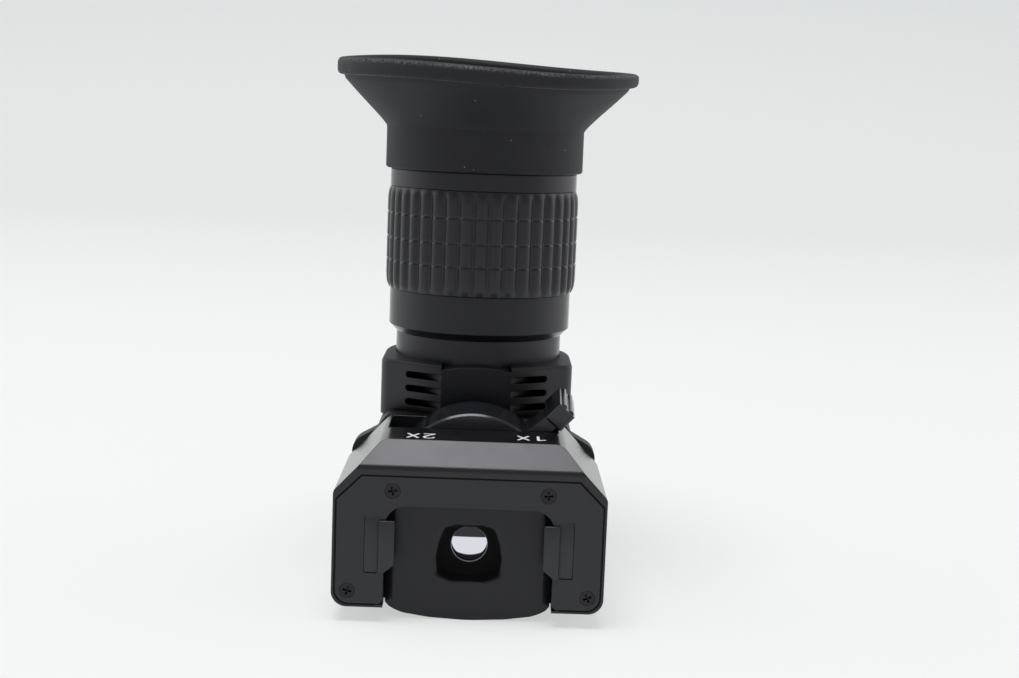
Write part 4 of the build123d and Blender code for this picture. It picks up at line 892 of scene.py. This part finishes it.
# %% Set heads at points
screw_tree, ask = new_tree("set_screws", {
    "Head": ("Object", None), "Facing": ("Rotation", None), "Seed": ("Int", 5), "Finish": ("Material", screw_black)})
one = add(screw_tree, "GeometryNodeObjectInfo", {"Object": ask["Head"]})
own_turn = add(screw_tree, "FunctionNodeRandomValue", {"Min": (0.0, 0.0, 0.0), "Max": (0.0, 0.0, math.pi),
                                                      "Seed": ask["Seed"]}, data_type="FLOAT_VECTOR")
spin = add(screw_tree, "FunctionNodeEulerToRotation", {"Euler": own_turn.outputs["Value"]})
aim = add(screw_tree, "FunctionNodeRotateRotation", {"Rotation": spin, "Rotate By": ask["Facing"]},
          rotation_space="GLOBAL")
set_heads = add(screw_tree, "GeometryNodeInstanceOnPoints", {"Points": ask["Geometry"], "Rotation": aim,
                                                            "Instance": one.outputs["Geometry"]})
real_heads = add(screw_tree, "GeometryNodeRealizeInstances", {"Geometry": set_heads})
black_heads = add(screw_tree, "GeometryNodeSetMaterial", {"Geometry": real_heads, "Material": ask["Finish"]})
add(screw_tree, "NodeGroupOutput", {0: black_heads})


def screws_at(name, places, facing, seed, body, node):
    """Screw heads at these places in millimetres, which replace the node's plain ones."""
    shape = bmesh.new()
    for place in places:
        shape.verts.new(Vector(place) * mm)
    piece = baked(piece_from(shape, name), screw_tree, Head=head, Facing=facing, Seed=seed)
    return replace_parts(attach(piece, body), node)


print("the screws' tree has", len(screw_tree.nodes), "nodes")

# %% Set the screws
plate_places = [(-10.95, 0.0, 7.95), (10.95, 0.0, 7.95), (-17.0, 0.0, -6.65), (17.0, 0.0, -6.65)]
plate_screws = screws_at("plate_cross_screws", plate_places, (math.pi / 2, 0.0, 0.0), 5, "front_unit", "plate_screws")
cover_slope = math.radians(45)
cover_places = [(side * 10.8, 43.85, -3.85) for side in (-1, 1)]
cover_screws = screws_at("cover_cross_screws", cover_places, (math.pi + cover_slope, 0.0, 0.0), 8, "elbow",
                         "cover_screws")
bpy.data.objects.remove(head)
print("screws:", len(plate_screws.data.polygons) + len(cover_screws.data.polygons), "faces")

# %% [markdown]
# ## Marks
# The lever's two ends are marked 2X and 1X in white, printed on the housing's top strip. They read from behind, from
# the eyepiece, so from the front they stand on their heads. Each sign is drawn as a few flat strokes, which lie a
# hair above the plastic, as pad printing does. The strokes are in shares of the sign's height.

# %% White print and the strokes
# Pad printing ink: a dull white, a little thin in places.
white_print, print_tree, print_shader = new_finish("white_pad_printing", Roughness=0.55)
mottled(print_tree, print_shader, 0.4, "#e9eaec", "#d4d6d9")
stroke_width, ink, layer_step, strip_top = 0.4, 0.012, 0.004, 14.7
strokes = {
    "1": [[(0.0, 0.0), (0.0, 1.0)], [(0.03, 1.0), (-0.36, 0.8)]],
    "2": [[(-0.24, 0.74), (-0.18, 0.92), (0.0, 1.0), (0.18, 0.92), (0.24, 0.72), (0.15, 0.5), (-0.26, 0.0)],
          [(-0.28, 0.0), (0.28, 0.0)]],
    "X": [[(-0.27, 0.0), (0.27, 1.0)], [(-0.27, 1.0), (0.27, 0.0)]],
}
print("signs:", sorted(strokes))

# %% Print the marks
def ribbon(shape, line, height):
    """A flat stroke along a line of points, as one strip."""
    spots = [Vector(p) for p in line]
    sides = []
    for i, spot in enumerate(spots):
        way = (spots[min(i + 1, len(spots) - 1)] - spots[max(i - 1, 0)]).normalized()
        half = Vector((-way.y, way.x)) * stroke_width / 2
        sides.append([shape.verts.new((*(spot + k * half), height)) for k in (-1, 1)])
    for a, b in zip(sides, sides[1:]):
        shape.faces.new((a[0], b[0], b[1], a[1]))


def mark(words, x, y, height, spacing):
    """Words printed on the strip, with their top towards the front."""
    shape = bmesh.new()
    for place, sign in enumerate(words):
        middle = (place - (len(words) - 1) / 2) * spacing
        for layer, line in enumerate(strokes[sign]):
            points = [(middle + u * height, (v - 0.5) * height) for u, v in line]
            ribbon(shape, points, ink + layer_step * layer)
    bmesh.ops.recalc_face_normals(shape, faces=shape.faces)
    for face in shape.faces:
        if face.normal.z < 0:
            face.normal_flip()
    piece = piece_from(shape, "mark_" + words, white_print)
    piece.data.transform(Matrix.Scale(mm, 4) @ Matrix.Translation((x, y, strip_top))
                         @ Matrix.Rotation(math.pi, 4, "Z"))
    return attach(piece, "front_unit")


marks = [mark("2X", -7.45, 6.1, 3.0, 2.3), mark("1X", 8.3, 7.0, 3.0, 2.15)]
print("marks:", [piece.name for piece in marks])

# %% [markdown]
# ## Floor, backdrop and light
# The object stands in a light tent: pale floor, pale back and soft light mostly from above. The floor runs back and
# curves up, so there is no horizon. Part of the paper's light is its own, as seen by the camera and in reflections,
# so that it looks white while the lamps stay at a plain level for the object.

# %% Bend the sweep
def stage_sweep():
    """A floor that curves up behind into a wall, in one sheet."""
    reach, back, bend, top = 1.6, 0.9, 0.35, 1.6
    curl = [math.radians(9 * i) for i in range(11)]
    line = [(-reach, 0.0)] + [(back + bend * math.sin(a), bend - bend * math.cos(a)) for a in curl]
    line.append((back + bend, top))
    shape = bmesh.new()
    rows = [[shape.verts.new((x, y, floor_height + z)) for x in (-reach, reach)] for y, z in line]
    for low, high in zip(rows, rows[1:]):
        shape.faces.new((low[0], low[1], high[1], high[0]))
    return piece_from(shape, "pale_sweep", sharp=180)


sweep = stage_sweep()
print("sweep of", len(sweep.data.polygons), "faces")

# %% Paper for the sweep
# Matt card: it scatters light evenly, so the floor keeps the object's soft shadow and shows no reflection of it.
paper, paper_tree, paper_shader = new_finish("pale_backdrop_paper", Roughness=0.9)
paper_out = paper_shader.outputs["BSDF"].links[0].to_node
paper_spot = add(paper_tree, "ShaderNodeSeparateXYZ",
                 {"Vector": add(paper_tree, "ShaderNodeTexCoord").outputs["Object"]}).outputs
# From the floor up to half a metre, the paper goes from near white to a pale grey; the grey higher up is painted
# shade.
height_shade_share = add(paper_tree, "ShaderNodeMapRange", {"Value": paper_spot["Z"], "From Min": -0.011, "From Max": 0.5},
                  interpolation_type="SMOOTHSTEP")
paper_tone_and_shade = add(paper_tree, "ShaderNodeMix", {"Factor": height_shade_share, "A": tone("#f2f4f3"), "B": tone("#d3d8da")},
                 data_type="RGBA").outputs["Result"]
join(paper_tree, paper_shader, {"Base Color": paper_tone_and_shade})
seen = add(paper_tree, "ShaderNodeLightPath").outputs
seen_plainly = add(paper_tree, "ShaderNodeMath", (seen["Is Camera Ray"], seen["Is Glossy Ray"]),
                   operation="MAXIMUM")
seen_at_all = add(paper_tree, "ShaderNodeMath", (seen_plainly, seen["Is Transmission Ray"]),
                  operation="MAXIMUM")
lit_share = add(paper_tree, "ShaderNodeMath", (seen_at_all, 0.6), operation="MULTIPLY")
paper_white = add(paper_tree, "ShaderNodeEmission", {"Color": paper_tone_and_shade, "Strength": 1.0})
paper_look = add(paper_tree, "ShaderNodeMixShader", (lit_share, paper_shader, paper_white))
join(paper_tree, paper_out, {"Surface": paper_look})
sweep.data.materials.append(paper)
print("stage ready")

# %% Light it
def soft_light(name, place, aim, size, power):
    """A large soft lamp at a place, turned towards a point. Power is in watts."""
    data = bpy.data.lights.new(name, "AREA")
    data.shape, data.size, data.energy = "SQUARE", size, power
    lamp = bpy.data.objects.new(name, data)
    lamp.location = place
    lamp.rotation_euler = (Vector(aim) - Vector(place)).to_track_quat("-Z", "Y").to_euler()
    bpy.context.scene.collection.objects.link(lamp)


soft_light("top_softbox", (-0.1, -0.11, 0.95), (0.0, 0.05, 0.0), 0.52, 6.2)
soft_light("left_wall", (-1.0, 0.35, 0.35), (0.0, 0.0, 0.0), 1.1, 3.8)
soft_light("right_wall", (1.0, 0.35, 0.35), (0.0, 0.0, 0.0), 1.1, 3.8)
world = bpy.data.worlds.new("tent_light")
world.use_nodes = True
world.node_tree.nodes.clear()
glow = add(world.node_tree, "ShaderNodeBackground", {"Color": tone("#ffffff"), "Strength": 0.36})
add(world.node_tree, "ShaderNodeOutputWorld", {"Surface": glow})
bpy.context.scene.world = world
